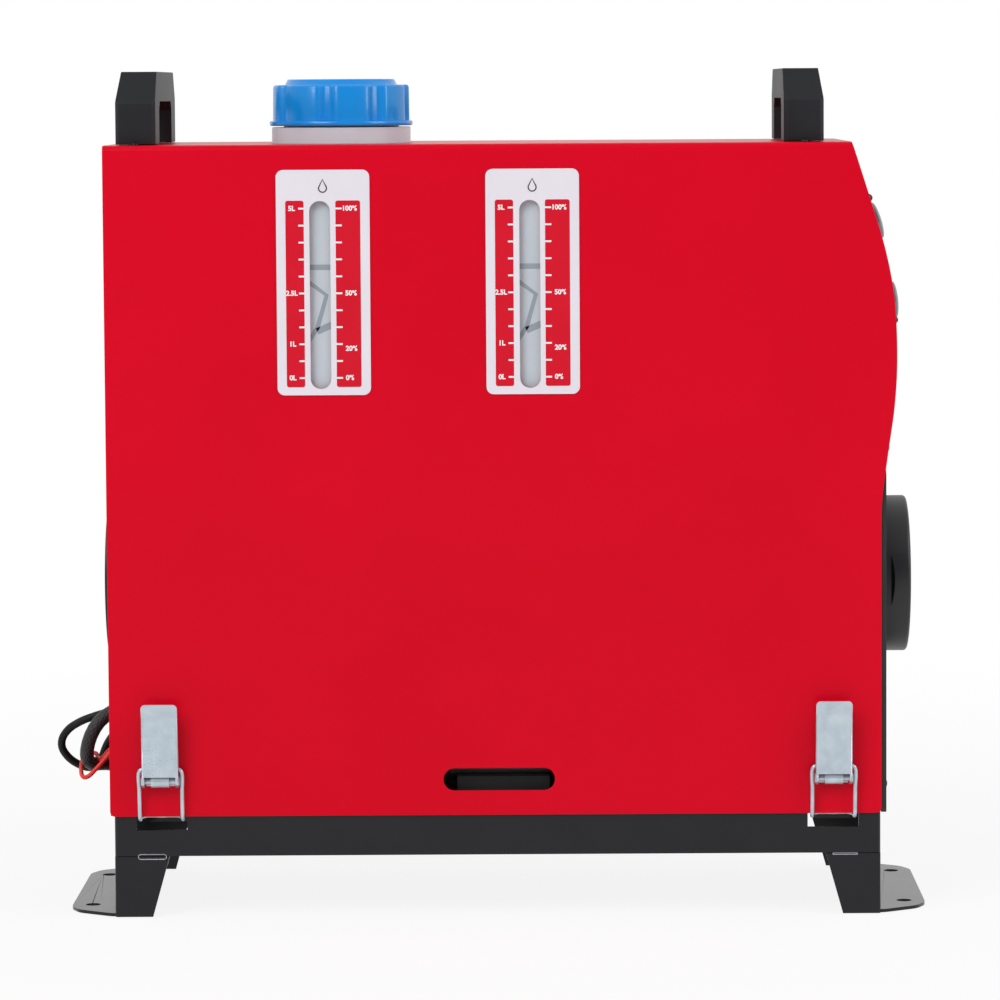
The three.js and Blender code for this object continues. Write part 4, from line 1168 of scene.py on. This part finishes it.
# Each strip: its two sides, its ticks' length and middle, and its numbers with how far each stands
# from the ticks' middle and below its tick's row.
strips = {
    "left": (
        -18.0, -9.2, 2.6, -9.2 - 1.3,
        [("5L", 0, -2.9, 0), ("2.5L", 5, -1.9, 0), ("1L", 8, -2.9, 0), ("0L", 10, -2.9, 0)],
    ),
    "right": (
        6.1, 18.0, 3.0, 6.1 + 1.5,
        [("100%", 0, 1.6, 0), ("50%", 5, 2.9, 0), ("20%", 8, 2.9, 2.2), ("0%", 10, 2.9, 0)],
    ),
}
for place, x in label_x.items():
    dressed(f"level_label_{place}", film, 0)
    for side, (low, high, tick_length, tick_x, numbers) in strips.items():
        strip = stadium(x + low, x + high, 257.9, 347.7, label_face - 0.06, label_face - 0.02, 1.1)
        piece_from(f"label_strip_{place}_{side}", strip, print_red)
        sizes = {
            "Count": 11,
            "Pitch": tick_pitch * mm,
            "Length": tick_length * mm,
            "Thickness": 0.85 * mm,
            "Material": print_white,
        }
        there = Matrix.Translation(Vector((x + tick_x, label_face - 0.1, top_tick)) * mm)
        grown(f"label_ticks_{place}_{side}", tick_tree, sizes, there)
        for number, row, reach, sink in numbers:
            there = on_label(x + (tick_x + reach), top_tick - row * tick_pitch - sink)
            name = f"label_number_{place}_{side}_{row}"
            align = "LEFT" if side == "right" else "RIGHT"
            lettering(name, number, 3.3, there, print_white, align, 0.13)
    drop = flat_stroke([*arc_points(1.9, -205, 25, 20), (0, 4.2)], 0.55, True)
    drop.transform(on_label(x, 353.6))
    piece_from(f"label_drop_{place}", drop, print_dark)

# Latches: pressed and zinc-plated toggle latches. The lever turns on the bracket's pin, and the
# wire bail that it carries hooks under the base's slot.
zinc = finish(
    "zinc plate", (178, 192, 202), (198, 211, 220), 0.3, 0.1, 1200, 0.01, 160.0, Metallic=0.45
)
latch_y, latch_z, bail_z = -77.5, 67.4, 73.2
lever_half = 8.75
bail_half = [
    (0, 9.3, -24), (7.75, 9.3, -24), (9.95, 7.9, -24.5), (10.35, 5.5, -25.1), (10.35, 3.1, -24.1),
    (10.35, 2.3, -20.6), (10.35, 1.1, -11), (10.35, 0, -1.6), (9.35, 0, -0.1), (7.95, 0, 0), (6.6, 0, 0),
]
bail_route = [(-x, y, z) for x, y, z in bail_half[:0:-1]] + bail_half
pin_end = [(0, -9.3), (2.0, -9.3), (2.4, -9.1), (2.4, -8.8), (0, -8.8)]
pin_ends = {"a": pin_end, "b": [(radius, -along) for radius, along in pin_end[::-1]]}
for place, x, facing in (
    ("near_rear", -163, 1), ("near_front", 163, 1), ("far_rear", -163, -1), ("far_front", 163, -1)
):

    def lever_bend(a, b, x=x):
        """The upright bends between the lever's face and its flanges."""
        ends = [abs(abs(p.x - x) - lever_half) < 0.01 and abs(abs(p.y) - 81.6) < 0.01 for p in (a, b)]
        return all(ends) and abs(a.z - b.z) > 0.5

    def grip_corner(a, b, x=x):
        """The two corners at the tip of the lever's grip."""
        ends = [abs(abs(p.x - x) - lever_half) < 0.01 and abs(p.z - 105.4) < 0.01 for p in (a, b)]
        return all(ends) and abs(a.y - b.y) > 0.5

    put_there = Matrix.Translation((x * mm, 0, 0)) @ Matrix.Rotation(0 if facing > 0 else math.pi, 4, "Z")
    dressed(f"latch_bracket_{place}", zinc, 0.25)
    rounds = [(grip_corner, 2.1, 5), (lever_bend, 1.7, 5)]
    dressed(f"latch_lever_{place}", zinc, 0.25, rounds=rounds)
    path = curve_through([(px, latch_y + py, bail_z + pz) for px, py, pz in bail_route], 0.0012)
    wire = tube(path, 0.95 * mm, 14)
    wire.transform(put_there)
    bail = f"latch_bail_{place}"
    piece_from(f"bail_wire_{place}", wire, zinc, [bail], bail, 60)
    for end, profile in pin_ends.items():
        head = turned(profile, 28, (0, latch_y, latch_z))
        head.transform(put_there)
        piece_from(f"pin_head_{place}_{end}", head, zinc)

# Heater unit: a plastic case in two halves round a finned aluminium exchanger, with its burner,
# glow plug, motor, shaft and wheels, on a steel stand with the exhaust and intake pipes.
case_black = finish("filled nylon", (38, 39, 42), (46, 47, 50), 0.5, 0.1, 1100, 0.03)
cast_aluminium = finish(
    "cast aluminium", (158, 160, 164), (176, 178, 182), 0.48, 0.12, 700, 0.06, Metallic=0.9
)
plated_steel = finish(
    "plated steel", (172, 174, 178), (186, 188, 192), 0.34, 0.1, 1300, 0.008, Metallic=0.9
)
heated_steel = finish(
    "heat-tinted steel", (148, 128, 104), (120, 116, 134), 0.42, 0.12, 900, 0.02, 24.0, Metallic=0.9
)
for node, material, width in (
    ("heater_case_lower", case_black, 0.5), ("heater_case_upper", case_black, 0.5),
    ("heat_exchanger", cast_aluminium, 0), ("burner_housing", cast_aluminium, 0.4),
    ("heating_fan", case_black, 0.2), ("combustion_impeller", cast_aluminium, 0.2),
    ("heater_ecu", case_black, 0.8), ("heater_stand", plated_steel, 0.3),
    ("pump_cradle", soft_rubber, 0.8),
):
    dressed(node, material, width)
heater_axis = (0, 0, 159)
combustion_tube = [(22, -58), (24, -58), (24, 80), (22, 80), (22, -58)]
motor = [
    (3.6, -132), (28.8, -132), (30, -130.8), (30, -92.2), (28.8, -91), (3.6, -91), (3.6, -132),
]
shaft = [(0, -160), (2.6, -160), (3, -159.6), (3, -70.4), (2.6, -70), (0, -70)]
plug = [
    (0, 25), (2.5, 25), (2.5, 34), (5, 36), (5, 50.6), (7.6, 50.6), (7.6, 56), (3, 56), (3, 59), (0, 59),
]
pipe = [(10.6, 20), (12, 20), (12, 112), (10.6, 112), (10.6, 20)]
for node, profile, origin, toward, material in (
    ("combustion_tube", combustion_tube, heater_axis, "X", heated_steel),
    ("blower_motor", motor, heater_axis, "X", plated_steel),
    ("blower_shaft", shaft, heater_axis, "X", plated_steel),
    ("glow_plug", plug, (-40, 0, 159), "Z", plated_steel),
    ("exhaust_pipe", pipe, (20, 10, 0), "Z", heated_steel),
    ("intake_pipe", pipe, (-45, 10, 0), "Z", plated_steel),
):
    in_place_of(node, "turned", turned(profile, 72, origin, toward), material)

# Fuel line: the dosing pump in its rubber cradle, a clear filter, and two rubber hoses of 5 mm.
# It runs from the tank down through the filter and the pump, and up to the burner.
pump_y, pump_z = -48.0, 77.0
pump = [
    (0, -44), (2.7, -44), (3, -43.6), (3, -36), (6.6, -36), (7, -35.6), (7, -24), (12.9, -24),
    (13.5, -23.4), (13.5, 29.8), (9, 33), (7, 33), (7, 39.6), (6.6, 40), (3, 40), (3, 47.6),
    (2.7, 48), (0, 48),
]
filter_body = [
    (0, 0), (3, 0), (3.4, 0.4), (3.4, 9), (10.6, 11.8), (11, 12.4), (11, 39.6), (10.6, 40.2), (3.4, 43),
    (3.4, 51.6), (3, 52), (0, 52),
]
for node, profile, start, material in (
    ("fuel_pump", pump, 0, plated_steel), ("fuel_filter", filter_body, 48.3, tank_skin)
):
    in_place_of(node, "turned", turned(profile, 64, (start, pump_y, pump_z)), material)
tank_route = [
    (100, -58, 236.7), (100, -58, 233), (101, -64, 227), (104, -66.8, 215), (108, -66.8, 180),
    (112, -66.8, 130), (114, -65, 98), (112, -56, 82), (106, pump_y, pump_z), (100.6, pump_y, pump_z),
]
burner_route = [
    (-44.3, pump_y, pump_z), (-50, pump_y, pump_z), (-60, -54, 79), (-68, -64, 90), (-70, -66.8, 105),
    (-70, -66.8, 140), (-70, -66.8, 150),
]
for node, route in (("tank_hose", tank_route), ("burner_hose", burner_route)):
    in_place_of(node, "tube", tube(curve_through(route), 2.5 * mm, 18), soft_rubber)

# Floor and backdrop: one pale matt sheet that keeps the heater's shadow. It is as white as the
# backdrop where the camera or a mirror sees it, a little less so under the heater.
floor_shade = bpy.data.materials.new("studio floor")
tree = emptied(floor_shade)
rays = put(tree, "ShaderNodeLightPath").outputs
seen = maths(tree, "MAXIMUM", rays["Is Camera Ray"], rays["Is Glossy Ray"])
seen = maths(tree, "MAXIMUM", seen, rays["Is Transmission Ray"])
place = put(tree, "ShaderNodeTexCoord").outputs["Object"]
pale, paler = linear(238, 238, 239), linear(241, 241, 242)
shade = grouped(tree, drift_group, Vector=place, Scale=3.0, First=pale, Second=paler)
matte = put(tree, "ShaderNodeBsdfDiffuse", Color=shade["Color"])
glow = put(tree, "ShaderNodeEmission", Color=(1, 1, 1, 1), Strength=1.0)
away = put(tree, "ShaderNodeVectorMath", {"operation": "LENGTH"}, Vector=place).outputs["Value"]
paling = put(tree, "ShaderNodeMapRange", Value=away, From_Min=0.3, From_Max=1.0, To_Min=0.88, To_Max=1.0)
share = maths(tree, "MULTIPLY", seen, paling.outputs[0])
both = put(tree, "ShaderNodeMixShader", in0=share, in1=matte.outputs[0], in2=glow.outputs[0])
put(tree, "ShaderNodeOutputMaterial", Surface=both.outputs[0])
bm = bmesh.new()
bmesh.ops.create_grid(bm, x_segments=2, y_segments=2, size=6)
floor_mesh = bpy.data.meshes.new("floor")
bm.to_mesh(floor_mesh)
bm.free()
floor = bpy.data.objects.new("floor", floor_mesh)
bpy.context.collection.objects.link(floor)
floor.location.z = -0.0005
floor_mesh.materials.append(floor_shade)

# Studio light: a plain surround and two soft boxes, a large one at the left and a small one at
# the right. Gloss sees the surround dim on the side that the camera is on.
world = bpy.data.worlds.new("studio")
bpy.context.scene.world = world
tree = emptied(world)
rays = put(tree, "ShaderNodeLightPath").outputs
way = put(tree, "ShaderNodeTexCoord").outputs["Generated"]
parts = put(tree, "ShaderNodeSeparateXYZ", Vector=way).outputs
toward_back = put(
    tree, "ShaderNodeMapRange", Value=parts[1], From_Min=-0.9, From_Max=0.2, To_Min=0.12, To_Max=1.0
)
seen = maths(tree, "MAXIMUM", rays["Is Camera Ray"], rays["Is Transmission Ray"])
glossy = maths(tree, "MULTIPLY", rays["Is Glossy Ray"], toward_back.outputs[0])
mirrored = maths(tree, "MAXIMUM", seen, rays["Is Glossy Ray"])
lit = maths(tree, "MULTIPLY", maths(tree, "SUBTRACT", 1.0, mirrored), 0.46)
strength = maths(tree, "ADD", maths(tree, "ADD", seen, glossy), lit)
sky = put(tree, "ShaderNodeBackground", Color=(1, 1, 1, 1), Strength=strength)
put(tree, "ShaderNodeOutputWorld", Surface=sky.outputs[0])


def soft_box(name, place, aim, size, power):
    """A rectangular lamp of so many watts that looks at a place."""
    light = bpy.data.lights.new(name, "AREA")
    light.shape = "RECTANGLE"
    light.size, light.size_y = size
    light.energy = power
    box = bpy.data.objects.new(name, light)
    bpy.context.collection.objects.link(box)
    box.location = place
    box.rotation_euler = (Vector(aim) - Vector(place)).to_track_quat("-Z", "Y").to_euler()


soft_box("soft_box_left", (-1.5, -2.1, 1.9), (0, 0, 0.2), (1.6, 1.6), 46)
soft_box("soft_box_right", (1.9, -0.9, 1.3), (0.1, 0, 0.2), (1.1, 1.4), 19)

bpy.context.scene.view_settings.view_transform = "Standard"
